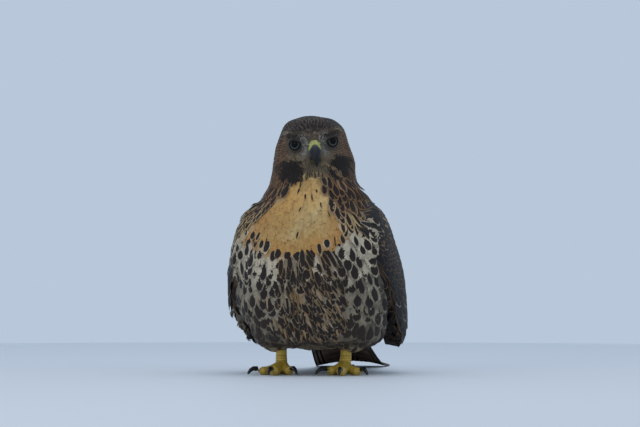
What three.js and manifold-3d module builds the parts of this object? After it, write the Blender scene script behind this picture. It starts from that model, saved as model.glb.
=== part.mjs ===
// A life-size red-tailed hawk in its first year, standing upright on level ground with its plumage fluffed out.
// Millimetres, +Z up. The bird faces -Y, so its left side is +X, and the ground is z = 0.
// The flesh is modelled whole and parted by thin cuts; beak, eyes and claws are pieces of their own.
import * as THREE from "three";
import { mergeVertices } from "three/addons/utils/BufferGeometryUtils.js";
import Module from "manifold-3d";

const wasm = await Module();
wasm.setup();

// Driving dimensions
const GAP = 0.3; // between pieces that meet
const HEAD_TURN = THREE.MathUtils.degToRad(13.5); // the head looks a little to the bird's left
const HEAD_TILT = THREE.MathUtils.degToRad(-5); // and leans to its right
const HEAD_CENTRE = new THREE.Vector3(0, -10, 262); // between the ears, at the height of the lower eyelids
const EYE_RADIUS = 9.2;
const EYE_SIDE = 21.5; // from the middle of the face to an eye's middle
const EYE_HEIGHT = 6.5; // above the head's centre
const EYE_OUT = THREE.MathUtils.degToRad(38); // how far an eye looks outwards
const CERE_FRONT = { y: -54, height: 0, lean: THREE.MathUtils.degToRad(12) }; // where cere meets horn
const WRIST = new THREE.Vector3(80, -48, 176); // bend of the left wing
const WING_TIP = new THREE.Vector3(15, 262, 26);
const WINGTIP_STARTS = 0.6; // of the folded wing's length
const TAIL_ROOT = 0.27; // share of the tail's line where the rump ends
const FOOT_SIDE = 37; // from the middle of the body to a foot's middle
const FOOT_FORWARD = -4;
const ANKLE = 15; // height where foot and shank part
const SOLE_SINK = 0.9; // how much of each pad is pressed flat on the ground
const BIG = 1000;

const colours = {
  head: [0x4a3a2e, 0.85],
  neck: [0x6b543e, 0.85],
  trunk: [0xb39a78, 0.85],
  back: [0x3f332b, 0.8],
  flight: [0x2c2623, 0.7],
  tail: [0x5d4a3c, 0.75],
  thigh: [0x8c7a66, 0.85],
  horn: [0x2a2c33, 0.35],
  cere: [0xb7b64a, 0.5],
  eye: [0x4f4c3f, 0.1],
  leg: [0xc9a83c, 0.6],
};

// Sizes of the body, from its underside up to the neck that the head hides. Each section is level.
// front and back are measured from the middle of the section, which lies at y = middle.
const bodySections = [
  { height: 24, halfWidth: 58, front: 40, back: 40, middle: 2 },
  { height: 31, halfWidth: 73, front: 57, back: 57, middle: 4 },
  { height: 46, halfWidth: 81, front: 71, back: 73, middle: 6 },
  { height: 75, halfWidth: 88, front: 84, back: 84, middle: 8 },
  { height: 110, halfWidth: 92, front: 91, back: 81, middle: 8 },
  { height: 145, halfWidth: 90, front: 88, back: 75, middle: 6 },
  { height: 170, halfWidth: 84, front: 79, back: 68, middle: 3 },
  { height: 190, halfWidth: 74, front: 68, back: 61, middle: 0 },
  { height: 207, halfWidth: 60, front: 57, back: 53, middle: -4 },
  { height: 225, halfWidth: 51, front: 46, back: 46, middle: -7 },
  { height: 250, halfWidth: 45, front: 38, back: 41, middle: -10 },
];

// Sizes of the head about its own centre, from inside the neck up to the crown. wedge narrows the face.
const headSections = [
  { height: -44, halfWidth: 32, front: 28, back: 34, wedge: 2 },
  { height: -32, halfWidth: 45.5, front: 37, back: 40, wedge: 2 },
  { height: -20, halfWidth: 49, front: 41, back: 43, wedge: 1.9 },
  { height: -8, halfWidth: 47, front: 44, back: 43, wedge: 1.75 },
  { height: 6, halfWidth: 42.5, front: 45, back: 40, wedge: 1.65 },
  { height: 16, halfWidth: 39.5, front: 42, back: 37, wedge: 1.75 },
  { height: 26, halfWidth: 34, front: 35, back: 31, wedge: 1.95 },
  { height: 33, halfWidth: 27, front: 26, back: 25, wedge: 2 },
  { height: 37.5, halfWidth: 15, front: 15, back: 14, wedge: 2 },
];

// Sizes of the folded left wing along the line from wrist to tip. Each section is a curved blade that
// wraps the body from its lower edge over its middle to its upper edge. Side is how far out each of
// these lies, and reach how far above or below the line.
const wingSections = [
  { along: -0.03, upSide: 50, upReach: 12, midSide: 54, midReach: 2, lowSide: 54, lowReach: -8, halfThick: 4 },
  { along: 0.05, upSide: 65, upReach: 36, midSide: 79, midReach: 2, lowSide: 80, lowReach: -38, halfThick: 7 },
  { along: 0.15, upSide: 68, upReach: 46, midSide: 86, midReach: 0, lowSide: 92, lowReach: -58, halfThick: 8.5 },
  { along: 0.27, upSide: 44, upReach: 54, midSide: 86, midReach: -4, lowSide: 95, lowReach: -79, halfThick: 10.5 },
  { along: 0.4, upSide: 16, upReach: 27, midSide: 77, midReach: -22, lowSide: 96, lowReach: -88, halfThick: 10.5 },
  { along: 0.5, upSide: 6, upReach: 6, midSide: 62, midReach: -24, lowSide: 87, lowReach: -77, halfThick: 8.5 },
  { along: 0.6, upSide: 5, upReach: -4, midSide: 44, midReach: -20, lowSide: 69, lowReach: -56, halfThick: 6 },
  { along: 0.7, upSide: 4.5, upReach: -8, midSide: 31, midReach: -17, lowSide: 53, lowReach: -40, halfThick: 4.5 },
  { along: 0.85, upSide: 4.5, upReach: -8, midSide: 20, midReach: -10, lowSide: 37, lowReach: -17, halfThick: 3 },
  { along: 0.95, upSide: 7, upReach: -4, midSide: 15, midReach: -5, lowSide: 25, lowReach: -8, halfThick: 2.2 },
  { along: 1, upSide: 13, upReach: -1, midSide: 15.5, midReach: -1.5, lowSide: 18, lowReach: -2.5, halfThick: 1.4 },
];

// Sizes of rump and tail along their middle line, which runs back and down to the ground.
const tailSections = [
  { along: 0, halfWidth: 58, halfThick: 36 },
  { along: 0.1, halfWidth: 54, halfThick: 30 },
  { along: 0.2, halfWidth: 44, halfThick: 21 },
  { along: 0.3, halfWidth: 35, halfThick: 12.5 },
  { along: 0.4, halfWidth: 32, halfThick: 7.5 },
  { along: 0.6, halfWidth: 34, halfThick: 4.4 },
  { along: 0.85, halfWidth: 38, halfThick: 3.2 },
  { along: 1, halfWidth: 38, halfThick: 2.2 },
];
const tailLine = new THREE.CatmullRomCurve3([
  new THREE.Vector3(0, 58, 96),
  new THREE.Vector3(0, 105, 74),
  new THREE.Vector3(0, 175, 43),
  new THREE.Vector3(0, 250, 11),
  new THREE.Vector3(0, 284, 2.4),
  new THREE.Vector3(0, 300, 1.3),
]);

// Toes of the left foot: the way each points, from straight ahead towards the bird's left, its
// length and thickness, and the claw that it carries.
const toes = [
  { name: "inner", turn: -30, length: 31, radius: 6, claw: 24 },
  { name: "middle", turn: 4, length: 45, radius: 6, claw: 20 },
  { name: "outer", turn: 42, length: 35, radius: 5.4, claw: 17 },
  { name: "hind", turn: 172, length: 22, radius: 6, claw: 25 },
];

// The value of one named size at a place between stations, as a smooth curve through them.
function sizeAt(stations, axis, place, size) {
  const last = stations.length - 1;
  const held = THREE.MathUtils.clamp(place, stations[0][axis], stations[last][axis]);
  let i = 0;
  while (i < last - 1 && held > stations[i + 1][axis]) i += 1;
  const slope = (k) => {
    const from = stations[Math.max(k - 1, 0)];
    const to = stations[Math.min(k + 1, last)];
    return (to[size] - from[size]) / (to[axis] - from[axis]);
  };
  const [a, b] = [stations[i], stations[i + 1]];
  const step = b[axis] - a[axis];
  const t = (held - a[axis]) / step;
  const [t2, t3] = [t * t, t * t * t];
  return (
    (2 * t3 - 3 * t2 + 1) * a[size] +
    (t3 - 2 * t2 + t) * step * slope(i) +
    (3 * t2 - 2 * t3) * b[size] +
    (t3 - t2) * step * slope(i + 1)
  );
}

// A closed shape along a line: a ball whose rings of vertices are moved to the sections. pointAt
// gets how far along (0 to 1) and the angle round the section.
function loft(segments, rings, pointAt) {
  const shape = new THREE.SphereGeometry(1, segments, rings);
  const place = shape.getAttribute("position");
  const grid = shape.getAttribute("uv");
  for (let i = 0; i < place.count; i++) {
    const along = 1 - grid.getY(i);
    const pole = along < 1e-6 || along > 1 - 1e-6;
    const point = pointAt(along, pole ? 0 : -2 * Math.PI * grid.getX(i), pole);
    place.setXYZ(i, point.x, point.y, point.z);
  }
  return bare(shape);
}

// Only the places of the vertices, with those that coincide made one.
function bare(shape) {
  const copy = shape.clone();
  copy.deleteAttribute("normal");
  copy.deleteAttribute("uv");
  return mergeVertices(copy, 1e-4);
}

// The cosine or sine of an angle, squared off for exponents above 2 and pointed below it.
function rounded(value, exponent) {
  return Math.sign(value) * Math.abs(value) ** (2 / exponent);
}

// How full a section is where the ends are rounded: 0 at the very end, 1 past the rounding.
function endFullness(along, startShare, endShare = startShare) {
  const near = Math.min(along / startShare, (1 - along) / endShare);
  return near >= 1 ? 1 : Math.sqrt(1 - (1 - near) ** 2);
}

const toSolid = (shape, holder) => {
  const moved = shape.clone();
  if (holder) {
    holder.updateWorldMatrix(true, false);
    moved.applyMatrix4(holder.matrixWorld);
  }
  return new wasm.Manifold(
    new wasm.Mesh({
      numProp: 3,
      vertProperties: new Float32Array(moved.getAttribute("position").array),
      triVerts: new Uint32Array(moved.index.array),
    }),
  );
};

function fromSolid(solid) {
  const mesh = solid.getMesh();
  const shape = new THREE.BufferGeometry();
  shape.setAttribute("position", new THREE.BufferAttribute(mesh.vertProperties, 3));
  shape.setIndex(new THREE.BufferAttribute(mesh.triVerts, 1));
  return shape;
}

// The largest of the bodies that a cut leaves, without crumbs.
function mainBody(solid) {
  const bodies = solid.decompose();
  return bodies.reduce((best, body) => (body.volume() > best.volume() ? body : best));
}

function mesh(name, geometry, colour) {
  const [hex, roughness] = colours[colour];
  const material = new THREE.MeshStandardMaterial({ color: hex, roughness, metalness: 0 });
  const made = new THREE.Mesh(geometry, material);
  made.name = name;
  return made;
}

// A large block whose lower face is a cutting plane that leans back by an angle.
function blockAbove(height, lean, lift) {
  const block = new THREE.BoxGeometry(BIG, BIG, BIG);
  block.translate(0, 0, BIG / 2 + lift);
  block.rotateX(lean);
  block.translate(0, 0, height);
  return toSolid(bare(block));
}

const ground = toSolid(bare(new THREE.BoxGeometry(BIG, BIG, BIG).translate(0, 0, -BIG / 2)));

// Breast, belly, back and neck as one shape, grown by a little where others are cut to fit it.
function bodyShape(grow) {
  const low = bodySections[0].height - grow;
  const high = bodySections[bodySections.length - 1].height + grow;
  return loft(28, 18, (along, angle) => {
    const height = low + (high - low) * (1 - (1 - along) ** 1.15);
    const size = (name) => sizeAt(bodySections, "height", height, name);
    const full = Math.max(endFullness(along, 0.06), 0);
    const reach = Math.sin(angle) < 0 ? size("front") : size("back");
    const x = (size("halfWidth") + grow) * full * rounded(Math.cos(angle), 2.3);
    const y = size("middle") + (reach + grow) * full * rounded(Math.sin(angle), 2.15);
    return new THREE.Vector3(x, y, height);
  });
}

function headShape(grow) {
  const low = headSections[0].height;
  const high = headSections[headSections.length - 1].height + grow;
  return loft(24, 13, (along, angle) => {
    const height = low + (high - low) * along;
    const size = (name) => sizeAt(headSections, "height", height, name);
    const full = endFullness(along, 0.05);
    const ahead = Math.sin(angle) < 0;
    const reach = ahead ? size("front") : size("back");
    const exponent = ahead ? size("wedge") : 2;
    const x = (size("halfWidth") + grow) * full * rounded(Math.cos(angle), ahead ? size("wedge") : 2);
    const y = (reach + grow) * full * rounded(Math.sin(angle), exponent);
    return new THREE.Vector3(x, y, height);
  });
}

// The bony ridge over an eye, which gives the hawk its frown.
function browShape(side) {
  const ridge = new THREE.SphereGeometry(1, 10, 6);
  ridge.scale(15, 7.5, 5);
  ridge.rotateY(side * THREE.MathUtils.degToRad(-14));
  ridge.rotateZ(side * THREE.MathUtils.degToRad(42));
  ridge.translate(side * 21.5, -29.5, 15.5);
  return bare(ridge);
}

// Upper beak with the cere at its root, between the ridge line and the cutting edge.
const ridgeLine = new THREE.CatmullRomCurve3([
  new THREE.Vector3(0, -32, 14),
  new THREE.Vector3(0, -41, 12.5),
  new THREE.Vector3(0, -49, 7),
  new THREE.Vector3(0, -55.5, -0.5),
  new THREE.Vector3(0, -59.5, -10),
  new THREE.Vector3(0, -58.5, -23),
]);
const cuttingEdge = new THREE.CatmullRomCurve3([
  new THREE.Vector3(0, -30, -7),
  new THREE.Vector3(0, -39, -9),
  new THREE.Vector3(0, -46, -10.5),
  new THREE.Vector3(0, -51, -12),
  new THREE.Vector3(0, -54.5, -16.5),
  new THREE.Vector3(0, -57.7, -23),
]);
const beakWidths = [
  { along: 0, half: 8.2 },
  { along: 0.3, half: 7.8 },
  { along: 0.52, half: 6.8 },
  { along: 0.68, half: 5.4 },
  { along: 0.86, half: 3 },
  { along: 1, half: 0.7 },
];

function upperBeakShape(grow) {
  return loft(10, 11, (along, angle) => {
    const top = ridgeLine.getPoint(along);
    const low = cuttingEdge.getPoint(along);
    const across = top.clone().sub(low);
    const half = across.length() / 2 + grow;
    const full = endFullness(along, 0.03);
    const up = across.normalize().multiplyScalar(half * full * Math.sin(angle));
    const width = sizeAt(beakWidths, "along", along, "half") + grow;
    const middle = top.add(low).multiplyScalar(0.5);
    middle.x = width * full * rounded(Math.cos(angle), 2.4);
    return middle.add(up);
  });
}

function lowerBeakShape(grow) {
  const line = new THREE.CatmullRomCurve3([
    new THREE.Vector3(0, -30, -12.5),
    new THREE.Vector3(0, -41, -14),
    new THREE.Vector3(0, -50.5, -14.5),
  ]);
  return loft(8, 6, (along, angle) => {
    const middle = line.getPoint(along);
    const full = endFullness(along, 0.25);
    const width = (7.2 - 2.6 * along + grow) * full;
    const depth = (4.4 - 1.2 * along + grow) * full;
    const x = width * Math.cos(angle);
    return middle.add(new THREE.Vector3(x, 0, depth * Math.sin(angle)));
  });
}

function eyePlace(side) {
  const outward = new THREE.Vector3(side * Math.sin(EYE_OUT), -Math.cos(EYE_OUT), 0);
  const onFace = new THREE.Vector3(side * EYE_SIDE, -35.5, EYE_HEIGHT);
  return onFace.addScaledVector(outward, -4.6);
}

function eyeShape(side, grow) {
  const ball = bare(new THREE.SphereGeometry(EYE_RADIUS + grow, 12, 7).rotateX(Math.PI / 2));
  const place = eyePlace(side);
  return ball.translate(place.x, place.y, place.z);
}

// The head's own frame, turned and tilted on the neck.
const headFrame = new THREE.Group();
headFrame.position.copy(HEAD_CENTRE);
headFrame.rotation.set(0, HEAD_TILT, HEAD_TURN, "ZYX");

function makeHead(flesh) {
  const inHead = (shape) => toSolid(shape, headFrame);
  const holes = [upperBeakShape(GAP), lowerBeakShape(GAP), eyeShape(1, GAP), eyeShape(-1, GAP)];
  let head = flesh;
  for (const hole of holes) head = head.subtract(inHead(hole));
  return mainBody(head);
}

// Beak, cere and eyes stay in the head's own frame.
function fillHeadFrame() {
  const beforeCere = (lift) => {
    const block = new THREE.BoxGeometry(BIG, BIG, BIG).translate(0, -BIG / 2 - lift, 0);
    return toSolid(bare(block.rotateX(CERE_FRONT.lean).translate(0, CERE_FRONT.y, CERE_FRONT.height)));
  };
  const upper = toSolid(upperBeakShape(0));
  const lower = toSolid(lowerBeakShape(0)).subtract(toSolid(upperBeakShape(GAP)));
  headFrame.add(mesh("beak_upper", fromSolid(mainBody(upper.intersect(beforeCere(GAP)))), "horn"));
  headFrame.add(mesh("cere", fromSolid(mainBody(upper.subtract(beforeCere(0)))), "cere"));
  headFrame.add(mesh("beak_lower", fromSolid(mainBody(lower)), "horn"));
  headFrame.add(mesh("eye_left", eyeShape(1, 0), "eye"));
  headFrame.add(mesh("eye_right", eyeShape(-1, 0), "eye"));
}

// The folded left wing. Its line runs from the wrist to the tip, and its breadth lies up and back.
const wingLine = WING_TIP.clone().sub(WRIST);
const wingAlong = wingLine.clone().normalize();
const wingUp = new THREE.Vector3(0, 0, 1);
wingUp.addScaledVector(wingAlong, -wingUp.dot(wingAlong)).normalize();

function wingShape(grow) {
  return loft(20, 18, (along, angle) => {
    const first = wingSections[0].along;
    const place = first + (1 - first) * along;
    const size = (name) => sizeAt(wingSections, "along", place, name);
    const full = endFullness(along, 0.03, 0.02);
    const across = rounded(Math.sin(angle), 2.3) * full;
    // The blade's middle line is a parabola through its lower edge, middle and upper edge.
    const blend = (low, mid, up) => ({
      at: (low * across * (across - 1)) / 2 + mid * (1 - across ** 2) + (up * across * (across + 1)) / 2,
      slope: low * (across - 0.5) - 2 * mid * across + up * (across + 0.5),
    });
    const side = blend(size("lowSide"), size("midSide"), size("upSide"));
    const reach = blend(size("lowReach"), size("midReach"), size("upReach"));
    const outward = new THREE.Vector2(reach.slope, -side.slope).normalize();
    const face = -Math.cos(angle);
    const thick = size("halfThick") * full * face + grow * Math.sign(face);
    const point = WRIST.clone().addScaledVector(wingLine, place);
    point.addScaledVector(wingUp, reach.at + outward.y * thick + grow * across);
    point.x = side.at + outward.x * thick;
    return point;
  });
}

function thighShape(grow) {
  return loft(12, 7, (along, angle) => {
    const height = 22.5 - grow + (78 + grow) * along;
    const wide = 24 + 10 * Math.sqrt(along) + grow;
    const deep = 24 + 18 * Math.sqrt(along) + grow;
    const full = endFullness(along, 0.2);
    const x = 45 + wide * full * Math.cos(angle);
    const y = -1 + 14 * along + deep * full * Math.sin(angle);
    return new THREE.Vector3(x, y, height);
  });
}

function tailShape(grow) {
  return loft(14, 13, (along, angle) => {
    const middle = tailLine.getPoint(along);
    const tangent = tailLine.getTangent(along);
    const up = new THREE.Vector3(0, -tangent.z, tangent.y);
    const full = endFullness(along, 0.03, 0.1);
    const wide = (sizeAt(tailSections, "along", along, "halfWidth") + grow) * full;
    const thick = sizeAt(tailSections, "along", along, "halfThick") * full + grow;
    const roof = -0.1 * wide * Math.cos(angle) ** 2 * Math.min(along * 3, 1) * (1 - along);
    middle.addScaledVector(up, thick * rounded(Math.sin(angle), 1.8) + roof);
    middle.x = -wide * rounded(Math.cos(angle), 2.3);
    return middle;
  });
}

// A tube of changing radius along a line in an upright plane, flattened a little where it lies.
function taperedTube(line, segments, rings, radiusAt, roundShare) {
  return loft(segments, rings, (along, angle) => {
    const middle = line.getPoint(along);
    const tangent = line.getTangent(along);
    const side = new THREE.Vector3(0, 0, 1).cross(tangent).normalize();
    const up = tangent.clone().cross(side);
    const radius = radiusAt(along) * endFullness(along, roundShare);
    middle.addScaledVector(side, radius * Math.cos(angle));
    return middle.addScaledVector(up, radius * Math.sin(angle));
  });
}

function toeDirection(toe) {
  const turn = THREE.MathUtils.degToRad(toe.turn);
  return new THREE.Vector3(Math.sin(turn), -Math.cos(turn), 0);
}

// A toe from the foot's middle to the root of its claw.
function toeShape(toe, grow) {
  const ahead = toeDirection(toe);
  const at = (reach, height) => ahead.clone().multiplyScalar(reach).setZ(height);
  const flat = toe.radius - SOLE_SINK;
  const line = new THREE.CatmullRomCurve3([
    at(-2, 13),
    at(toe.length * 0.3, flat + 2.6),
    at(toe.length * 0.6, flat),
    at(toe.length, flat),
  ]);
  return taperedTube(line, 8, 7, (along) => toe.radius * (1.06 - 0.14 * along) + grow, 0.12);
}

// A claw rises from its toe, arches over and comes down to a point just above the ground.
function clawShape(toe) {
  const ahead = toeDirection(toe);
  const root = toe.length - 2;
  const flat = toe.radius - SOLE_SINK;
  const at = (share, height) => ahead.clone().multiplyScalar(root + toe.claw * share).setZ(height);
  const line = new THREE.CatmullRomCurve3([
    at(0, flat + 0.6),
    at(0.36, flat + 3.4),
    at(0.72, flat + 1.6),
    at(0.92, flat - 2.2),
    at(0.96, 0.9),
  ]);
  return taperedTube(line, 7, 6, (along) => 3.3 * (1 - along) ** 0.7 + 0.35, 0.06);
}

function shankShape() {
  const line = new THREE.CatmullRomCurve3([
    new THREE.Vector3(0, -1, 7),
    new THREE.Vector3(1, 3, 20),
    new THREE.Vector3(3, 9, 42),
  ]);
  return loft(10, 6, (along, angle) => {
    const middle = line.getPoint(along);
    const full = endFullness(along, 0.08);
    const x = (7.2 - 1.4 * along) * full * Math.cos(angle);
    const y = (8.4 - 1.8 * along) * full * Math.sin(angle);
    return middle.add(new THREE.Vector3(x, y, 0));
  });
}

// Toes, claws and shank of the left leg, with flats where the pads press on the ground.
function makeLeftLeg(feathers) {
  const place = new THREE.Group();
  place.position.set(FOOT_SIDE, FOOT_FORWARD, 0);
  const allToes = (grow) =>
    toes.map((toe) => toSolid(toeShape(toe, grow), place)).reduce((sum, toe) => sum.add(toe));
  const shank = toSolid(shankShape(), place);
  const above = blockAbove(ANKLE, 0, GAP / 2);
  const below = blockAbove(ANKLE, 0, -GAP / 2);
  const foot = allToes(0).add(shank.subtract(below)).subtract(above).subtract(ground);
  const room = allToes(GAP);
  return {
    foot: mainBody(foot),
    shank: mainBody(shank.intersect(above).subtract(feathers)),
    claws: toes.map((toe) => mainBody(toSolid(clawShape(toe), place).subtract(room))),
  };
}

const hawk = new THREE.Group();
hawk.add(headFrame);

// A block past a plane across a line, from a share of the line onwards.
function blockPast(point, direction, lift) {
  const plane = new THREE.Object3D();
  plane.position.copy(point);
  plane.lookAt(point.clone().add(direction));
  return toSolid(bare(new THREE.BoxGeometry(BIG, BIG, BIG).translate(0, 0, BIG / 2 + lift)), plane);
}

const tailRoot = [tailLine.getPoint(TAIL_ROOT), tailLine.getTangent(TAIL_ROOT)];
const tailWhole = toSolid(tailShape(0)).subtract(ground);
const tail = mainBody(tailWhole.intersect(blockPast(...tailRoot, GAP / 2)));
const rump = tailWhole.subtract(blockPast(...tailRoot, -GAP / 2));
const bodyGrown = toSolid(bodyShape(GAP));

let flesh = toSolid(bodyShape(0)).add(rump).add(toSolid(headShape(0), headFrame));
for (const side of [1, -1]) flesh = flesh.add(toSolid(browShape(side), headFrame));

const headCut = { height: 236, lean: THREE.MathUtils.degToRad(9) };
const neckCut = { height: 203, lean: THREE.MathUtils.degToRad(9) };
const aboveHeadCut = blockAbove(headCut.height, headCut.lean, GAP / 2);
const belowHeadCut = blockAbove(headCut.height, headCut.lean, -GAP / 2);
const aboveNeckCut = blockAbove(neckCut.height, neckCut.lean, GAP / 2);
const belowNeckCut = blockAbove(neckCut.height, neckCut.lean, -GAP / 2);

const head = makeHead(flesh.intersect(aboveHeadCut));
const neck = mainBody(flesh.intersect(aboveNeckCut).subtract(belowHeadCut));
const thighRoom = toSolid(thighShape(GAP));
const trunk = mainBody(
  flesh.subtract(belowNeckCut).subtract(thighRoom).subtract(thighRoom.mirror([1, 0, 0])),
);
hawk.add(mesh("head", fromSolid(head), "head"));
hawk.add(mesh("neck", fromSolid(neck), "neck"));
hawk.add(mesh("trunk", fromSolid(trunk), "trunk"));
hawk.add(mesh("tail", fromSolid(tail), "tail"));
fillHeadFrame();

// Wings, thighs and legs are modelled for the left and mirrored before they are fitted to the body.
const headGrown = toSolid(headShape(GAP), headFrame);
const tailGrown = toSolid(tailShape(GAP));
const wingWhole = toSolid(wingShape(0));
const tipStart = WRIST.clone().addScaledVector(wingLine, WINGTIP_STARTS);
const thigh = mainBody(toSolid(thighShape(0)).subtract(toSolid(wingShape(GAP))));
const leg = makeLeftLeg(thighRoom);
for (const side of ["left", "right"]) {
  const placed = (solid) => (side === "left" ? solid : solid.mirror([1, 0, 0]));
  const add = (name, solid, colour) => hawk.add(mesh(`${name}_${side}`, fromSolid(mainBody(solid)), colour));
  const pastTipStart = (lift) => placed(blockPast(tipStart, wingAlong, lift));
  const wing = placed(wingWhole).subtract(bodyGrown).subtract(tailGrown).subtract(headGrown);
  add("wing", wing.subtract(pastTipStart(-GAP / 2)), "back");
  add("wingtip", wing.intersect(pastTipStart(GAP / 2)), "flight");
  add("thigh", placed(thigh), "thigh");
  add("shank", placed(leg.shank).subtract(bodyGrown), "leg");
  add("foot", placed(leg.foot), "leg");
  toes.forEach((toe, i) => add(`claw_${toe.name}`, placed(leg.claws[i]), "horn"));
}

// The origin is the middle of the bird's box, on the ground.
const box = new THREE.Box3().setFromObject(hawk);
hawk.position.set(-(box.min.x + box.max.x) / 2, -(box.min.y + box.max.y) / 2, 0);

export default hawk;
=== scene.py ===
"""A life-size red-tailed hawk in its first year, standing with its plumage fluffed out.

Metres, +Z up. The bird faces -Y, and its left side is +X.
"""
import itertools
import math

import bmesh
import bpy
import numpy as np
from mathutils import Matrix, Vector
from mathutils.bvhtree import BVHTree


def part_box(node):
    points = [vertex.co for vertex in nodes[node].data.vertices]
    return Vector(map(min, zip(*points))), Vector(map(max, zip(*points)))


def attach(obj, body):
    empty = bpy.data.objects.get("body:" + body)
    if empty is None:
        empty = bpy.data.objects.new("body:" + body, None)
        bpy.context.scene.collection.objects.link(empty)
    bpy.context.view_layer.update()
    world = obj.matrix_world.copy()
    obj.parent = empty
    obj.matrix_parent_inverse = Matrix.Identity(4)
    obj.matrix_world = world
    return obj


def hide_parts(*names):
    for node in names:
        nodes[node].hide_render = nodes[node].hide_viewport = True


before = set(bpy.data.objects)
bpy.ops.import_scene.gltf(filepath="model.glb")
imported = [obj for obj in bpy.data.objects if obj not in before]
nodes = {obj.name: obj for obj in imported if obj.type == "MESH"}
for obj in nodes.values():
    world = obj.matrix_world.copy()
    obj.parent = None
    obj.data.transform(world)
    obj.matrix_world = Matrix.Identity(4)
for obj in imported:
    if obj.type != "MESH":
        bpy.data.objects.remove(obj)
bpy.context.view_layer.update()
rng = np.random.default_rng(20)
MM = 0.001
FULL_TURN = 6.283
CAMERA_TURN = math.radians(10)  # of the camera round the bird, from straight ahead
SIDES = (("left", 1), ("right", -1))

# Places taken from the solids
HEAD_TURN = math.radians(13.5)
HEAD_TILT = math.radians(-5)
HEAD = np.array(Matrix.Rotation(HEAD_TURN, 3, "Z") @ Matrix.Rotation(HEAD_TILT, 3, "Y"))
EYE_IN_HEAD = np.array([18.67, -31.88, 6.5]) * MM
EYE_RADIUS = 9.2 * MM


def middle(node):
    low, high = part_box(node)
    return np.array((low + high) / 2)


eye_centres = {side: middle(f"eye_{side}") for side, _ in SIDES}
eyes_between = (eye_centres["left"] + eye_centres["right"]) / 2
head_centre = eyes_between - HEAD @ (EYE_IN_HEAD * [0, 1, 1])
SHIFT = head_centre[1] + 10 * MM  # from the solids' own drawing to this frame, along Y
BODY_AXIS = SHIFT + 6 * MM


def in_head(points):
    """Places in the head's own frame, in millimetres."""
    return (points - head_centre) @ HEAD / MM


def from_head(x, y, z):
    return head_centre + HEAD @ (np.array([x, y, z]) * MM)


# Small helpers
def srgb(red, green, blue):
    c = np.array([red, green, blue]) / 255
    return np.where(c <= 0.04045, c / 12.92, ((c + 0.055) / 1.055) ** 2.4)


def ramp(value, low, high):
    t = np.clip((np.asarray(value, float) - low) / (high - low), 0, 1)
    return t * t * (3 - 2 * t)


def mixed(a, b, share):
    share = np.asarray(share)[..., None]
    return a * (1 - share) + b * share


def bell(*shares):
    """1 in the middle, falling off to nothing where the shares grow past 1."""
    return np.exp(-sum(share**2 for share in shares))


def unit(vectors):
    return vectors / np.maximum(np.linalg.norm(vectors, axis=-1, keepdims=True), 1e-12)


def dots(a, b):
    return (a * b).sum(1)


def along_surface(ways, normals):
    """Ways turned into the surface that has these normals."""
    return unit(ways - normals * dots(ways, normals)[:, None])


def pick(*objects):
    bpy.ops.object.select_all(action="DESELECT")
    for o in objects:
        o.select_set(True)
    bpy.context.view_layer.objects.active = objects[0]


def apply_modifier(piece, kind, **settings):
    pick(piece)
    modifier = piece.modifiers.new(kind.lower(), kind)
    for name, value in settings.items():
        setattr(modifier, name, value)
    bpy.ops.object.modifier_apply(modifier=modifier.name)


def edit_all(piece, operator, **settings):
    """Runs an operator of edit mode on the whole of a piece."""
    pick(piece)
    bpy.ops.object.mode_set(mode="EDIT")
    bpy.ops.mesh.select_all(action="SELECT")
    operator(**settings)
    bpy.ops.object.mode_set(mode="OBJECT")


def linked(name, data):
    """A new object, linked to the scene."""
    made = bpy.data.objects.new(name, data)
    bpy.context.scene.collection.objects.link(made)
    return made


def added(name, primitive, **settings):
    """A new object from one of Blender's own simple shapes."""
    bpy.ops.object.select_all(action="DESELECT")
    primitive(**settings)
    piece = bpy.context.view_layer.objects.active
    piece.name = name
    return piece


def copied(name, *node_names, swell=0.0):
    """A new object from copies of solids, each merged and swollen a little so that they join."""
    copies = []
    for node_name in node_names:
        data = nodes[node_name].data.copy()
        data.materials.clear()
        copy = linked(name, data)
        copies.append(copy)
        edit_all(copy, bpy.ops.mesh.remove_doubles, threshold=1e-6)
        if swell:
            apply_modifier(copy, "DISPLACE", strength=swell, mid_level=0)
    pick(*copies)
    if len(copies) > 1:
        bpy.ops.object.join()
    piece = bpy.context.view_layer.objects.active
    piece.name = name
    return piece


def remeshed(name, *node_names, voxel, rounds, factor=0.5, swell=0.0):
    """Solids made into one smooth surface from cells of one size."""
    piece = copied(name, *node_names, swell=swell)
    apply_modifier(piece, "REMESH", mode="VOXEL", voxel_size=voxel)
    apply_modifier(piece, "SMOOTH", factor=factor, iterations=rounds)
    smooth_faces(piece)
    return piece


def read(items, name, width, kind=float):
    """One property of all items, as rows of numbers."""
    values = np.zeros(len(items) * width, kind)
    items.foreach_get(name, values)
    return values.reshape(-1, width)


def places(piece):
    return read(piece.data.vertices, "co", 3)


def set_places(piece, co):
    piece.data.vertices.foreach_set("co", np.asarray(co).ravel())
    piece.data.update()


def vertex_normals(piece):
    return read(piece.data.vertex_normals, "vector", 3)


def solid_tree(node):
    """A tree for finding places on the surface of a solid."""
    data = nodes[node].data
    return BVHTree.FromPolygons([v.co[:] for v in data.vertices], [tuple(p.vertices) for p in data.polygons])


def smooth_faces(piece):
    piece.data.polygons.foreach_set("use_smooth", np.ones(len(piece.data.polygons), bool))


def set_colours(mesh, colours):
    """Stores a colour for each corner of a mesh's faces."""
    mesh.attributes.new("plumage", "BYTE_COLOR", "CORNER")
    corners = np.concatenate([np.clip(colours, 0, 1), np.ones((len(colours), 1))], 1)
    mesh.color_attributes["plumage"].data.foreach_set("color", corners.ravel())


def paint_corners(piece, colours):
    """Lays a colour per vertex on the faces' corners."""
    set_colours(piece.data, colours[read(piece.data.loops, "vertex_index", 1, np.int64)[:, 0]])


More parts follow.
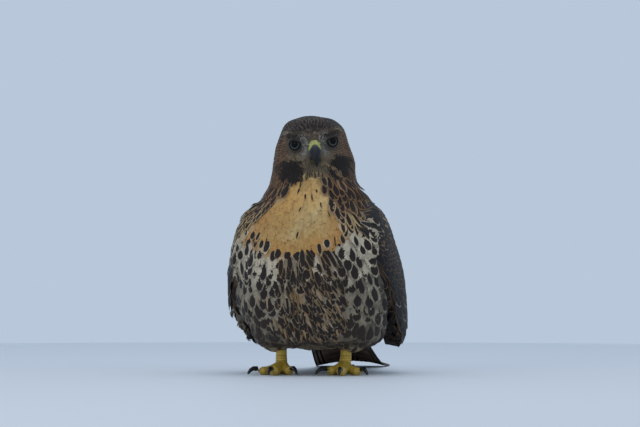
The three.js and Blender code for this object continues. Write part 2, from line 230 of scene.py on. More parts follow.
def finish_piece(piece, material, slot, *stands_for):
    piece.data.materials.clear()
    piece.data.materials.append(material)
    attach(piece, "root")
    if stands_for:
        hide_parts(*stands_for)


# Materials
def new_group(name, inputs, outputs):
    group = bpy.data.node_groups.new(name, "ShaderNodeTree")
    for direction, sockets in (("INPUT", inputs), ("OUTPUT", outputs)):
        for socket_name, kind, value in sockets:
            made = group.interface.new_socket(socket_name, in_out=direction, socket_type=kind)
            if value is not None:
                made.default_value = value
    return group


FLOAT, COLOUR = "NodeSocketFloat", "NodeSocketColor"


class Nodes:
    """Adds nodes to a tree and links them in one go."""

    def __init__(self, tree):
        self.tree = tree

    def fill(self, node, inputs):
        """Links or sets inputs of a node."""
        for key, value in inputs.items():
            if isinstance(value, bpy.types.NodeSocket):
                self.tree.links.new(value, node.inputs[key])
            else:
                node.inputs[key].default_value = value
        return node

    def to_shader(self, inputs):
        self.fill(self.tree.nodes["Principled BSDF"], inputs)

    def add(self, kind, inputs, **settings):
        node = self.tree.nodes.new(kind)
        for name, value in settings.items():
            setattr(node, name, value)
        return self.fill(node, inputs)

    def math(self, operation, a, b=0.0):
        return self.add("ShaderNodeMath", {0: a, 1: b}, operation=operation).outputs[0]

    def between(self, value, low, high, to_low=0.0, to_high=1.0):
        return self.add("ShaderNodeMapRange", {0: value, 1: low, 2: high, 3: to_low, 4: to_high}).outputs[0]

    def mix(self, share, a, b, blend="MIX"):
        node = self.add("ShaderNodeMix", {0: share, 6: a, 7: b}, data_type="RGBA", blend_type=blend)
        return node.outputs[2]

    def times(self, colour, factor):
        """A colour made lighter or darker."""
        grey = self.add("ShaderNodeCombineColor", {0: factor, 1: factor, 2: factor}).outputs[0]
        return self.mix(1.0, colour, grey, "MULTIPLY")

    def place(self):
        return self.add("ShaderNodeTexCoord", {}).outputs["Object"]

    def away_from(self, point):
        """From a point to the place that is shaded."""
        inputs = {0: self.place(), 1: tuple(point)}
        return self.add("ShaderNodeVectorMath", inputs, operation="SUBTRACT").outputs[0]

    def dot(self, vector, way):
        inputs = {0: vector, 1: tuple(way)}
        return self.add("ShaderNodeVectorMath", inputs, operation="DOT_PRODUCT").outputs["Value"]

    def noise(self, place, scale, detail, roughness=0.5):
        inputs = {"Vector": place, "Scale": scale, "Detail": detail, "Roughness": roughness}
        return self.add("ShaderNodeTexNoise", inputs).outputs["Fac"]

    def painted(self):
        """The colours laid on the faces' corners."""
        return self.add("ShaderNodeVertexColor", {}, layer_name="plumage").outputs["Color"]

    def worn(self, colour, scale, amount):
        """A colour made uneven, and a height for its bumps."""
        inputs = {"Colour": colour, "Scale": scale, "Amount": amount}
        return self.add("ShaderNodeGroup", inputs, node_tree=uneven).outputs

    def bump(self, height, strength, distance):
        inputs = {"Strength": strength, "Distance": distance, "Height": height}
        return self.add("ShaderNodeBump", inputs).outputs[0]


def grain_group():
    """Uneven colour and a bump height for any living surface, from places in the object's frame."""
    group = new_group(
        "uneven_surface",
        [("Colour", COLOUR, (0.5, 0.5, 0.5, 1)), ("Scale", FLOAT, 200.0), ("Amount", FLOAT, 0.3)],
        [("Colour", COLOUR, None), ("Height", FLOAT, None)],
    )
    n = Nodes(group)
    given = n.add("NodeGroupInput", {}).outputs
    noise = n.noise(n.place(), given["Scale"], 3.0, 0.6)
    shade = n.between(noise, 0.25, 0.75, -1.0, 1.0)
    factor = n.math("ADD", n.math("MULTIPLY", shade, given["Amount"]), 1.0)
    n.add("NodeGroupOutput", {"Colour": n.times(given["Colour"], factor), "Height": noise})
    return group


def barb_group():
    """Fine slanting barbs on a vane, from the feather's own map: across in U and along in V."""
    group = new_group(
        "feather_barbs", [("Density", FLOAT, 26.0)], [("Height", FLOAT, None), ("Shade", FLOAT, None)]
    )
    n = Nodes(group)
    given = n.add("NodeGroupInput", {}).outputs
    split = n.add("ShaderNodeSeparateXYZ", {0: n.add("ShaderNodeUVMap", {}, uv_map="vane").outputs[0]})
    across = n.math("ABSOLUTE", n.math("SUBTRACT", split.outputs[0], 0.5))
    slant = n.math("SUBTRACT", split.outputs[1], n.math("MULTIPLY", across, 0.7))
    lines = n.math("SINE", n.math("MULTIPLY", n.math("MULTIPLY", slant, given["Density"]), FULL_TURN))
    height = n.math("ADD", n.math("MULTIPLY", lines, 0.5), n.noise(n.place(), 600.0, 2.0))
    # Shade darkens the colour in the grooves between barbs and lightens it on their crests: painted shade and
    # light that follow the bump's height.
    n.add("NodeGroupOutput", {"Height": height, "Shade": n.between(height, -0.2, 1.3, 0.86, 1.12)})
    return group


uneven = grain_group()
barbs = barb_group()


def start_material(name):
    material = bpy.data.materials.new(name)
    material.use_nodes = True
    return material, Nodes(material.node_tree)


def feather_material(name, roughness, density, bump, sheen):
    material, n = start_material(name)
    barb = n.add("ShaderNodeGroup", {"Density": density}, node_tree=barbs).outputs
    # The base colour carries the barbs' painted shade.
    n.to_shader({
        "Base Color": n.times(n.worn(n.painted(), 260.0, 0.16)["Colour"], barb["Shade"]),
        "Roughness": n.between(barb["Height"], 0.0, 1.2, roughness - 0.08, roughness + 0.08),
        "Normal": n.bump(barb["Height"], bump, 0.0003),
        "Sheen Weight": sheen,
        "Sheen Roughness": 0.6,
        "Specular IOR Level": 0.25,
    })
    return material


def painted_skin(name, roughness=0.75):
    """Skin with its colours laid on it, like the skin under the feathers."""
    material, n = start_material(name)
    worn = n.worn(n.painted(), 500.0, 0.25)
    n.to_shader({
        "Base Color": worn["Colour"],
        "Roughness": n.between(worn["Height"], 0.3, 0.7, roughness - 0.08, roughness + 0.12),
        "Normal": n.bump(worn["Height"], 0.5, 0.0006),
    })
    return material


def horn_material(name, colour, tip_colour, roughness, axis=2, base=4, tip=-12):
    """Layered horn with fine growth lines, and another colour from its base to its tip along an axis of
    the head, in millimetres."""
    material, n = start_material(name)
    start = float(head_centre @ HEAD[:, axis])
    fade = n.between(n.dot(n.place(), HEAD[:, axis]), start + base * MM, start + tip * MM)
    worn = n.worn(n.mix(fade, (*colour, 1), (*tip_colour, 1)), 420.0, 0.22)
    n.to_shader({
        "Base Color": worn["Colour"],
        "Roughness": n.between(worn["Height"], 0.3, 0.7, roughness - 0.06, roughness + 0.1),
        "Normal": n.bump(worn["Height"], 0.15, 0.0002),
        "Specular IOR Level": 0.3,
    })
    return material


def waxy_material(name, colours, scale, roughness=0.42, bump=0.3):
    """Bare skin between two colours, with fine pores."""
    material, n = start_material(name)
    place = n.place()
    noise = n.noise(place, scale, 4.0)
    cells = n.add("ShaderNodeTexVoronoi", {"Vector": place, "Scale": scale * 5}).outputs["Distance"]
    n.to_shader({
        "Base Color": n.mix(n.between(noise, 0.35, 0.65), (*colours[0], 1), (*colours[1], 1)),
        "Roughness": n.between(noise, 0.3, 0.7, roughness - 0.06, roughness + 0.1),
        "Normal": n.bump(cells, bump, 0.0003),
    })
    return material


# The skin: one surface for head, neck, trunk, thighs and arms
FLESH = ("head", "neck", "trunk", "thigh_left", "thigh_right", "wing_left", "wing_right")
skin = remeshed(
    "skin", *FLESH, "cere", "eye_left", "eye_right", voxel=0.0019, rounds=36, factor=0.6, swell=0.0004
)


def coat_depth(points):
    """How deep the skin lies under the tips of the coat."""
    h = in_head(points)
    face = ramp(h[:, 1], -18, -36) * ramp(h[:, 2], -26, -12)
    head = 2.6 - 1.5 * face
    return (head + (5.2 - head) * ramp(h[:, 2], -14, -62)) * MM


MOST_DEPTH = 0.006
group = skin.vertex_groups.new(name="coat_depth")
for i, depth in enumerate(coat_depth(places(skin))):
    group.add([i], depth / MOST_DEPTH, "REPLACE")
apply_modifier(skin, "DISPLACE", strength=-MOST_DEPTH, mid_level=0, vertex_group="coat_depth")
apply_modifier(skin, "SMOOTH", factor=0.5, iterations=4)

# A fuller crown, turned with the head, a fuller left shoulder, and the right flank tucked in
co = places(skin)
h = in_head(co)
dome = ramp(h[:, 2], -8, 28) * (2.6 + 1.6 * ramp(h[:, 0], 10, -24))
narrower = 4.6 * ramp(h[:, 2], 0, 20) * ramp(-h[:, 0], 3, 24)
narrower -= 3.4 * ramp(h[:, 2], 18, 32) * ramp(h[:, 0], 3, 24)
co = co + vertex_normals(skin) * dome[:, None] * MM + narrower[:, None] * MM * HEAD[:, 0]
x, y, z = co.T / MM
fuller = (8.5 * bell((z - 207) / 8.5) + 3.0 * bell((z - 230) / 16)) * ramp(x, 16, 40) * ramp(y, -20, -60)
tucked = 9 * ramp(z, 78, 58) * ramp(-x, 55, 80)
co[:, 0] += (fuller + tucked) * MM
set_places(skin, co)

# Lids: the skin round each eye is made finer and laid over the eyeball, open in front.
EYE_OUT = math.radians(26)
LID_WIDE, LID_HIGH = 0.70, 0.66  # half sizes of the opening, as shares of the eyeball
LID = EYE_RADIUS + 1.0 * MM
EYE_SURROUNDS = 17.5 * MM  # how far from an eye's middle the lids shape the skin
eye_axes = {}
for side, sign in SIDES:
    ahead = HEAD @ np.array([sign * math.sin(EYE_OUT), -math.cos(EYE_OUT), 0])
    up = unit(HEAD[:, 2] - ahead * (ahead @ HEAD[:, 2]))
    outer = np.cross(ahead, up)
    eye_axes[side] = ahead, up, outer * np.sign(outer @ HEAD[:, 0]) * sign


def lid_edge(u, w):
    """Distance from the edge of the lids in shares of the eyeball: below 0 where the eye shows."""
    oval = (np.hypot(u / LID_WIDE, w / LID_HIGH) - 1) * LID_HIGH
    frown = (w - 0.40 - 0.22 * u) * 0.95
    return np.log(np.exp(oval * 12) + np.exp(frown * 12)) / 12


def lid_gap(points):
    """Distance from the nearer eye's lids, in shares of the eyeball, for places close to it."""
    gap = np.full(len(points), 1.0)
    for side, centre in eye_centres.items():
        away = points - centre
        far = np.linalg.norm(away, axis=1)
        way = away / np.maximum(far, 1e-9)[:, None]
        ahead, up, outer = eye_axes[side]
        here = np.where(way @ ahead > 0, lid_edge(way @ outer, way @ up), 1.0)
        gap = np.where(far < EYE_SURROUNDS, np.minimum(gap, here), gap)
    return gap


mesh = bmesh.new()
mesh.from_mesh(skin.data)
for reach in (0.021, 0.017):
    near = [
        e
        for e in mesh.edges
        if min(((e.verts[0].co + e.verts[1].co) / 2 - Vector(c)).length for c in eye_centres.values()) < reach
    ]
    bmesh.ops.subdivide_edges(mesh, edges=near, cuts=1, use_grid_fill=True)
bmesh.ops.triangulate(mesh, faces=[f for f in mesh.faces if len(f.verts) > 4])
mesh.to_mesh(skin.data)
mesh.free()

# The brow juts forward over each eye, and the skin closes round the eyeball up to the lids
co = places(skin)
h = in_head(co)
outwards = np.abs(h[:, 0])
along_brow = (outwards - 9) / 23
over_brow = h[:, 2] - (10.5 + 9 * along_brow)
sharp = bell(over_brow / np.where(over_brow > 0, 5.5, 1.5))
frown = 3.6 * sharp * ramp(along_brow, -0.15, 0.3) * ramp(along_brow, 1.25, 0.75) * ramp(h[:, 1], -8, -22)
forward = np.sign(h[:, :1]) * [0.3, 0, 0] + [0, -0.92, -0.2]
co = co + frown[:, None] * MM * (forward @ HEAD.T)
for side, centre in eye_centres.items():
    away = co - centre
    distance = np.linalg.norm(away, axis=1)
    gap = lid_gap(co)
    target = (EYE_RADIUS - 3 * MM) + (LID - EYE_RADIUS + 3 * MM) * ramp(gap, -0.07, 0.04)
    hold = (1 - ramp(gap, 0.25, 0.6)) * (1 - ramp(distance, 0.0145, EYE_SURROUNDS))
    moved = centre + away * (target / np.maximum(distance, 1e-9))[:, None]
    co = mixed(co, moved, hold)
set_places(skin, co)

edit_all(skin, bpy.ops.uv.smart_project, angle_limit=1.15, island_margin=0.004)
skin.data.uv_layers[0].name = "OFBake"

# Triangles of the skin, for laying feathers on it
skin.data.calc_loop_triangles()
tri = read(skin.data.loop_triangles, "vertices", 3, np.int64)
tri_loops = read(skin.data.loop_triangles, "loops", 3, np.int64)
skin_uv = read(skin.data.uv_layers["OFBake"].data, "uv", 2)
skin_co = places(skin)
skin_normals = vertex_normals(skin)
tri_co = skin_co[tri]
tri_area = np.linalg.norm(np.cross(tri_co[:, 1] - tri_co[:, 0], tri_co[:, 2] - tri_co[:, 0]), axis=1) / 2
tri_middle = tri_co.mean(1)
tri_normal = unit(skin_normals[tri].mean(1))
tree = BVHTree.FromPolygons(skin_co.tolist(), tri.tolist())


def on_skin(points):
    """Nearest places on the skin, their normals, and their triangles."""
    found = [tree.find_nearest(p) for p in points.tolist()]
    index = np.array([f[2] for f in found])
    return np.array([f[0][:] for f in found]), tri_normal[index], index


def map_at(points, index):
    """The skin's own map at places in its triangles."""
    corner = tri_co[index, 0]
    side, other, away = tri_co[index, 1] - corner, tri_co[index, 2] - corner, points - corner
    side_side, side_other, other_other = dots(side, side), dots(side, other), dots(other, other)
    away_side, away_other = dots(away, side), dots(away, other)
    scale = np.maximum(side_side * other_other - side_other * side_other, 1e-18)
    second = np.clip((other_other * away_side - side_other * away_other) / scale, 0, 1)
    third = np.clip((side_side * away_other - side_other * away_side) / scale, 0, 1)
    uv = skin_uv[tri_loops[index]]
    return uv[:, 0] * (1 - second - third)[:, None] + uv[:, 1] * second[:, None] + uv[:, 2] * third[:, None]


# The folded wing's own surface, with the sizes of its solid
WRIST = np.array([80, -48, 176.0])
WING_LINE = np.array([15, 262, 26.0]) - WRIST
WING_ALONG = WING_LINE / np.linalg.norm(WING_LINE)
WING_UP = unit(np.array([0, 0, 1]) - WING_ALONG[2] * WING_ALONG)
WING = np.array([
    # along, upper edge out and up, middle out and up, lower edge out and up, half thickness
    (-0.03, 50, 12, 54, 2, 54, -8, 4),
    (0.05, 65, 36, 79, 2, 80, -38, 7),
    (0.15, 68, 46, 86, 0, 92, -58, 8.5),
    (0.27, 44, 54, 86, -4, 95, -79, 10.5),
    (0.4, 16, 27, 77, -22, 96, -88, 10.5),
    (0.5, 6, 6, 62, -24, 87, -77, 8.5),
    (0.6, 5, -4, 44, -20, 69, -56, 6),
    (0.7, 4.5, -8, 31, -17, 53, -40, 4.5),
    (0.85, 4.5, -8, 20, -10, 37, -17, 3),
    (0.95, 7, -4, 15, -5, 25, -8, 2.2),
    (1, 13, -1, 15.5, -1.5, 18, -2.5, 1.4),
])


def wing_place(along, across, out=0.0):
    """Places on the outer face of the left wing: along it from wrist (0) to tip (1), across it from
    the lower edge (-1) to the upper (1), and out from it in millimetres."""
    along, across, out = np.broadcast_arrays(*(np.asarray(v, float) for v in (along, across, out)))
    sizes = [np.interp(along, WING[:, 0], WING[:, k]) for k in range(1, 8)]
    up_side, up_reach, mid_side, mid_reach, low_side, low_reach, half = sizes

    def blend(low, mid, up):
        at = low * across * (across - 1) / 2 + mid * (1 - across**2) + up * across * (across + 1) / 2
        return at, low * (across - 0.5) - 2 * mid * across + up * (across + 0.5)

    side, side_slope = blend(low_side, mid_side, up_side)
    reach, reach_slope = blend(low_reach, mid_reach, up_reach)
    size = np.hypot(reach_slope, side_slope)
    thick = half * np.sqrt(np.maximum(1 - np.minimum(np.abs(across), 1) ** 2.3, 0)) + out
    point = WRIST + along[..., None] * WING_LINE
    point = point + (reach - side_slope / size * thick)[..., None] * WING_UP
    point[..., 0] = side + reach_slope / size * thick
    return point * MM + [0, SHIFT, 0]


def wing_normal(along, across):
    step = 0.01
    down_line = wing_place(along + step, across) - wing_place(along - step, across)
    up_blade = wing_place(along, across + step) - wing_place(along, across - step)
    return unit(np.cross(down_line, up_blade))


# How the feathers lie, and their markings
# The fluffed flanks hide the front of each wing up to these places: height, and place along Y.
FLANKS = {
    1: ((30, -70), (60, -100), (87, -126), (110, -140), (131, -148), (150, -147), (165, -140), (185, -126),
        (200, -108), (215, -90)),
    -1: ((30, -30), (62, -40), (72, -98), (84, -124), (104, -146), (116, -118), (126, -104), (190, -104),
         (215, -105)),
}
# As the camera sees it, the left wing begins here: height, and place along the camera's right
WING_FRONT = ((35, 64), (122, 63), (141, 62.5), (162, 60.5), (182, 56), (202, 46), (214, 40))
ACROSS_VIEW = np.array([math.cos(CAMERA_TURN), math.sin(CAMERA_TURN), 0])
wing_trees = {side: solid_tree(f"wing_{side}") for side, _ in SIDES}


def behind_flanks(points):
    """How far places lie behind the flanks' edge, in millimetres."""
    made = np.zeros(len(points))
    for sign, line in FLANKS.items():
        heights, edge = np.array(line).T
        chosen = points[:, 0] * sign > 0
        made[chosen] = points[chosen, 1] / MM - np.interp(points[chosen, 2] / MM, heights, edge)
    return made


def past_wing_front(points):
    """How far places lie outside the left wing's front edge, as the camera sees it, in millimetres."""
    heights, edge = np.array(WING_FRONT).T
    return points @ ACROSS_VIEW / MM - np.interp(points[:, 2] / MM, heights, edge)


def on_wing(points):
    """True on the parts of the skin that cover the arms, behind the flanks."""
    near = behind_flanks(points) > 0
    near &= (points[:, 2] < 0.215) & (points[:, 2] > 0.03)
    for i in np.where(near)[0]:
        side = "left" if points[i, 0] > 0 else "right"
        near[i] = wing_trees[side].find_nearest(points[i], 0.0085)[0] is not None
    beyond = past_wing_front(points) > 1.5
    return near | (beyond & (points[:, 2] < 0.207) & (points[:, 2] > 0.06) & (points[:, 1] < 0.0))


def lie(points, normals, wing):
    """The way the feathers point, along the skin."""
    h = in_head(points)
    from_beak = unit(h - np.array([0, -46, 2.0])) @ HEAD.T
    side = np.sign(points[:, 0])
    ones = np.ones(len(points))
    down_front = np.stack([0.14 * side, -0.05 * ones, -ones], 1)
    down_back = np.stack([-0.12 * side, 0.75 * ones, -0.62 * ones], 1)
    behind = ramp(points[:, 1] - BODY_AXIS, -0.03, 0.05)
    body = unit(mixed(down_front, down_back, behind))
    along_wing = unit(WING_ALONG * [1, 1, 0.75]) * np.stack([side, ones, ones], 1)
    flank = ramp(behind_flanks(points), -34, -6) * ramp(points[:, 2], 0.215, 0.19)
    body = unit(mixed(body, along_wing, np.clip(0.45 * flank + wing, 0, 1)))
    way = along_surface(mixed(from_beak, body, ramp(h[:, 2], -8, -40)), normals)
    for centre in eye_centres.values():
        off = points - centre
        close = ramp(np.linalg.norm(off, axis=1), 0.021, 0.013)[:, None]
        off = along_surface(off, normals)
        inward = np.minimum(dots(way, off), 0)[:, None]
        way = way - off * inward * close + 0.3 * off * close
    return unit(way)


DARK = srgb(38, 30, 27)
BROWN = srgb(60, 46, 37)
TAWNY = srgb(136, 102, 72)
RUST = srgb(136, 102, 74)
PALE_EDGE = srgb(158, 132, 98)
CREAM = srgb(194, 182, 160)
GREY_CREAM = srgb(136, 126, 108)
BUFF_TOP = srgb(194, 168, 118)
BUFF = srgb(184, 144, 86)
BUFF_EDGE = srgb(180, 130, 74)
STRIPE = srgb(146, 114, 76)
PALE_BRISTLE = srgb(172, 170, 160)
DARK_BRISTLE = srgb(38, 36, 34)
# Painted shade of the belly's underside
SHADED_LOWER_BELLY = srgb(88, 79, 66)
UNDERSIDE = srgb(172, 154, 124)
LORE = srgb(182, 183, 176)
LORE_SHAFT = srgb(50, 49, 46)
THROAT = srgb(112, 102, 80)
OLIVE = srgb(142, 125, 98)
MALAR = srgb(30, 26, 25)
CROWN_GREY = srgb(108, 95, 87)
HIND_HEAD = srgb(104, 85, 70)
FOREHEAD = srgb(46, 43, 43)
BROW_STREAK = srgb(170, 152, 122)
ROUND_EYE = srgb(78, 76, 68)
WING_DARK = srgb(37, 31, 29)
# Blue-black: the wing feathers' own dark colour with painted shade.
SHADED_WING_BLACK = srgb(11, 14, 20)
EDGE = srgb(122, 98, 74)
EDGE_PALE = srgb(160, 136, 106)
FACE, CROWN, NECK, BREAST, BELLY, BACK, THIGH, WING_COAT = range(8)
# The plain breast's lowest height at each turn from straight ahead, in degrees
BIB_TURNS = (-110, -60, -49, -26, -3, 14, 29, 41, 60, 110)
BIB_LOWEST = (150, 168, 161, 148, 138, 147, 157, 172, 180, 150)
# The turns at its left and right edge at each height
BIB_HEIGHTS = (158, 168, 178, 186, 200, 214, 228)
BIB_LEFT_EDGE = (47, 44, 38, 32, 29, 25, 17)
BIB_RIGHT_EDGE = (66, 62, 56, 50, 40, 29, 17)


def body_turn(points):
    """Turn round the body from straight ahead, in degrees, towards the bird's left."""
    return np.degrees(np.arctan2(points[:, 0], BODY_AXIS - points[:, 1]))


def waves(points, scale, seed):
    """Soft random shades, mostly between -1 and 1, that change over this many millimetres."""
    turns = np.random.default_rng(seed)
    total = np.zeros(len(points))
    for _ in range(7):
        way = unit(turns.normal(0, 1, 3))
        long = scale * turns.uniform(0.7, 1.6)
        total += np.sin(points @ way / MM * FULL_TURN / long + turns.uniform(0, FULL_TURN))
    return total / 4


def head_plumage(points):
    """The head's share at places on the bird, its ground colour, mark colour and size of the marks
    there, and the kind of feather."""
    h = in_head(points)
    hx, hy, hz = np.abs(h[:, 0]), h[:, 1], h[:, 2]
    head = ramp(hz - 6 * ramp(hx, 20, 12) * ramp(hy, 0, -12), -37, -30)

    # Dark crown, rusty cheeks, olive under the eyes
    behind = ramp(hy, -20, 10)
    crown = ramp(hz, 13 - 8 * behind, 19 + 7 * behind)
    cheek = np.maximum(ramp(hx, 24, 32), ramp(hy, -16, 8)) * (1 - crown)
    base = mixed(OLIVE, RUST, cheek)
    base = mixed(base, HIND_HEAD, 0.6 * ramp(hy, 2, 26) * (1 - crown))
    base = mixed(base, CROWN_GREY, crown)
    spot = mixed(BROWN, DARK * 0.9, crown)
    spots = 0.44 + 0.32 * crown + 0.1 * cheek

    # Dark forehead with pale flecks
    front = bell(hx / 13, (hz - 15) / 8) * ramp(hy, -14, -26)
    base = mixed(base, FOREHEAD, 0.85 * front)
    flecks = (waves(points, 5, 21) > 0.35) * bell(hx / 6, (hz - 14.5) / 4) * ramp(hy, -30, -36)
    base = mixed(base, CREAM * 0.8, 0.8 * flecks)

    # Painted shadow of the jutting brow over each eye, under a pale streak, and dark round the eye
    brow_shadow = bell((hx - 20) / 10, (hz - 12.8 - (hx - 21) * 0.3) / 4.2) * ramp(hy, -18, -28)
    base = mixed(base, DARK * 0.7, np.clip(1.25 * brow_shadow, 0, 1))
    spot = mixed(spot, DARK * 0.7, brow_shadow)
    streak = bell((hx - 28) / 5.5, (hz - 19) / 2.0) * ramp(hy, -5, -20)
    base = mixed(base, BROW_STREAK, 0.8 * streak)
    spot = mixed(spot, BROWN, streak)
    spots = np.where(streak > 0.5, 0.34, spots)
    round_eye = ramp(np.hypot((hx - 21) / 1.15, hz - 6.5), 12.5, 9.0) * ramp(hy, -24, -32) * ramp(hz, 12, 5)
    base = mixed(base, ROUND_EYE, 0.75 * round_eye)

    # Pale lores, and a dark patch on each cheek beside the throat
    lore = np.clip(1.4 * bell((hx - 11) / 3.8, (hz - 3.5) / 8.5), 0, 1) * ramp(hy, -28, -37)
    base = mixed(base, LORE, lore * np.clip(0.6 + 0.8 * waves(points, 3, 22), 0, 1))
    spot = mixed(spot, LORE_SHAFT, lore)
    beside = -hz - 10
    throat = ramp(hz, -8, -14) * ramp(hx, 9 + 0.42 * beside, 4 + 0.42 * beside) * ramp(hy, -10, -25)
    patch = np.hypot((hx - 26) / 13.5, (hz + 21) / 12.5)
    patch = patch + 0.14 * waves(points, 11, 8) + 0.24 * waves(points, 3.2, 18)
    malar = ramp(patch, 1.2, 0.86) * (1 - throat) * ramp(hy, 6, -6)
    base = mixed(base, mixed(MALAR, BROWN, 0.35), malar)
    spot = mixed(spot, MALAR * 0.8, malar)
    # The throat darkens to brown at its lower end: painted shade under the beak.
    base = mixed(base, mixed(THROAT, BROWN, ramp(hz, -25, -31)), throat)
    spot = mixed(spot, BROWN, throat)
    spots = np.where(throat > 0.5, 0.34, spots)

    # A thin pale line from under the bill down over the left cheek
    down_line = np.clip(((h[:, 0] - 8) * 31 - (hz + 14) * 23) / (31**2 + 23**2), 0, 1)
    line_gap = np.hypot(h[:, 0] - 8 - 31 * down_line, hz + 14 + 23 * down_line)
    pale_line = bell(line_gap / 1.3) * ramp(hy, 12, -2)
    base = mixed(base, PALE_EDGE * 1.1, 0.8 * pale_line)
    spots = np.where(pale_line > 0.4, 0.2, spots)
    base = base * (1 + 0.16 * waves(points, 9, 7))[:, None]
    small = ramp(hy, -14, -24) * ramp(hz, 22, 16) * ramp(hz, -27, -22)
    return head, base, spot, spots, np.where(small > 0.5, FACE, CROWN)


def plumage(points, wing):
    """Ground colour, mark colour and the size of the marks (0 to 1) at places on the bird, with the
    kind of feather there."""
    y, z = (points[:, 1] - BODY_AXIS) / MM, points[:, 2] / MM
    turn = body_turn(points)

    # Belly: cream above, greyer below and darker still low down, where the darkening is painted shade of the
    # underside; a tawny wash down the middle
    ground = mixed(GREY_CREAM, CREAM, np.clip(ramp(z, 95, 150) + 0.35 * waves(points, 40, 3), 0, 1))
    ground = mixed(ground, SHADED_LOWER_BELLY, ramp(z, 88, 35))
    stripe = bell((turn - 3 + 8 * np.sin(z / 14)) / 8) * ramp(z, 38, 60) * ramp(z, 140, 122)
    ground = mixed(ground, STRIPE, stripe * np.clip(0.75 + 0.5 * waves(points, 26, 4), 0, 1))
    middle = bell(turn / 34) * ramp(z, 158, 128)
    size = 0.70 + 0.12 * ramp(z, 150, 110) + 0.14 * middle + 0.06 * ramp(z, 90, 50)
    mark = mixed(DARK, BROWN, 0.5 * ramp(z, 95, 45))
    kind = np.full(len(points), BELLY)

    def become(share, new_kind, new_size):
        """Where one zone prevails, its kind and size of marks take over."""
        return np.where(share > 0.5, new_kind, kind), np.where(share > 0.5, new_size, size)

    # Breast: a buff bib, plain but for a few streaks
    bib_low = np.interp(turn, BIB_TURNS, BIB_LOWEST)
    left_edge = np.interp(z, BIB_HEIGHTS, BIB_LEFT_EDGE)
    right_edge = np.interp(z, BIB_HEIGHTS, BIB_RIGHT_EDGE)
    inside = np.minimum(turn + right_edge, left_edge - turn)
    in_bib = ramp(z, bib_low - 3, bib_low + 4) * ramp(inside, -4, 3)
    pale = 0.85 * bell((turn - 6 - (z - 190) * 0.5) / 13) * ramp(z, 160, 186)
    buff = mixed(BUFF, BUFF_TOP, np.clip(pale + 0.3 * waves(points, 34, 5), 0, 1))
    edge = np.clip(ramp(z, bib_low + 30, bib_low + 8) + 0.7 * ramp(inside, 16, 3) * ramp(z, 220, 200), 0, 1)
    buff = mixed(buff, BUFF_EDGE, edge * np.clip(0.7 + 0.4 * waves(points, 22, 6), 0, 1))
    # Painted light: the bib is made lighter at its top, where the head shades it.
    buff = buff * (1 + 0.22 * ramp(z, 196, 214))[:, None]
    ground = mixed(ground, buff, in_bib)
    kind, size = become(in_bib, BREAST, 0.0)

    # Sides of neck and breast: long dark streaks with tawny edges
    from_bib = np.clip(-0.25 * inside, 0, 7)
    sides = ramp(z, bib_low - 2 + from_bib, bib_low + 8 + from_bib) * (1 - in_bib)
    streaked = mixed(PALE_EDGE, TAWNY, ramp(z, 185, 222))
    streaked = mixed(streaked, BUFF_TOP, 0.5 * ramp(z, 205, 180))
    ground = mixed(ground, streaked, sides)
    kind, size = become(sides, NECK, 0.5 + 0.22 * ramp(z, 185, 215))

    # Back and rump, dark brown with paler edges
    back = ramp(y - 52 * ramp(z, 88, 62), 2, 20) * ramp(z, 20, 45)
    ground = mixed(ground, mixed(EDGE, EDGE_PALE, ramp(y, 70, 100)), back)
    mark = mixed(mark, DARK, back)
    kind, size = become(back, BACK, 0.8)

    # Wings under their rows of coverts
    ground = mixed(ground, EDGE * 0.8, wing)
    mark = mixed(mark, WING_DARK, wing)
    kind, size = become(wing, WING_COAT, 0.84)

    # Underside and thighs: buff with faint spots
    under = ramp(z, 42, 30) * ramp(y, -75, -50)
    ground = mixed(ground, UNDERSIDE, under)
    kind, size = become(under, THIGH, 0.35)

    head, base, spot, spots, head_kind = head_plumage(points)
    ground = mixed(ground, base, head)
    mark = mixed(mark, spot, head)
    kind, size = become(head, head_kind, spots)
    nape = ramp(y, 5, 25) * ramp(z, 195, 215)
    kind = np.where((nape > 0.5) & (head <= 0.5), NECK, kind)
    return ground, mark, size, kind


# Feathers
NEIGHBOURS = tuple(itertools.product((-1, 0, 1), repeat=3))
TRIES = 6.5  # places tried for each square of the skin as wide as the spacing


def scatter(spacing):
    """Places on the skin, evenly strewn with the spacing that each of its triangles asks for."""
    weight = np.where(spacing > 0, tri_area / np.maximum(spacing, 1e-4) ** 2, 0)
    count = int(weight.sum() * TRIES)
    chosen = rng.choice(len(weight), size=count, p=weight / weight.sum())
    a, b = rng.random((2, count))
    fold = a + b > 1
    a, b = np.where(fold, 1 - a, a)[:, None], np.where(fold, 1 - b, b)[:, None]
    corners = tri_co[chosen]
    points = corners[:, 0] + a * (corners[:, 1] - corners[:, 0]) + b * (corners[:, 2] - corners[:, 0])
    level = np.floor(np.log2(spacing[chosen]) * 2).astype(int)
    cell = 2.0 ** ((level + 1) / 2)
    keys = np.floor(points / cell[:, None]).astype(int)
    taken, kept = {}, []
    for i, (kx, ky, kz) in enumerate(keys.tolist()):
        here, reach = points[i], spacing[chosen[i]] ** 2
        cells = ((level[i], kx + dx, ky + dy, kz + dz) for dx, dy, dz in NEIGHBOURS)
        gaps = (here - other for key in cells for other in taken.get(key, ()))
        if not any(gap @ gap < reach for gap in gaps):
            taken.setdefault((level[i], kx, ky, kz), []).append(here)
            kept.append(i)
    return points[kept], tri_normal[chosen[kept]], chosen[kept]


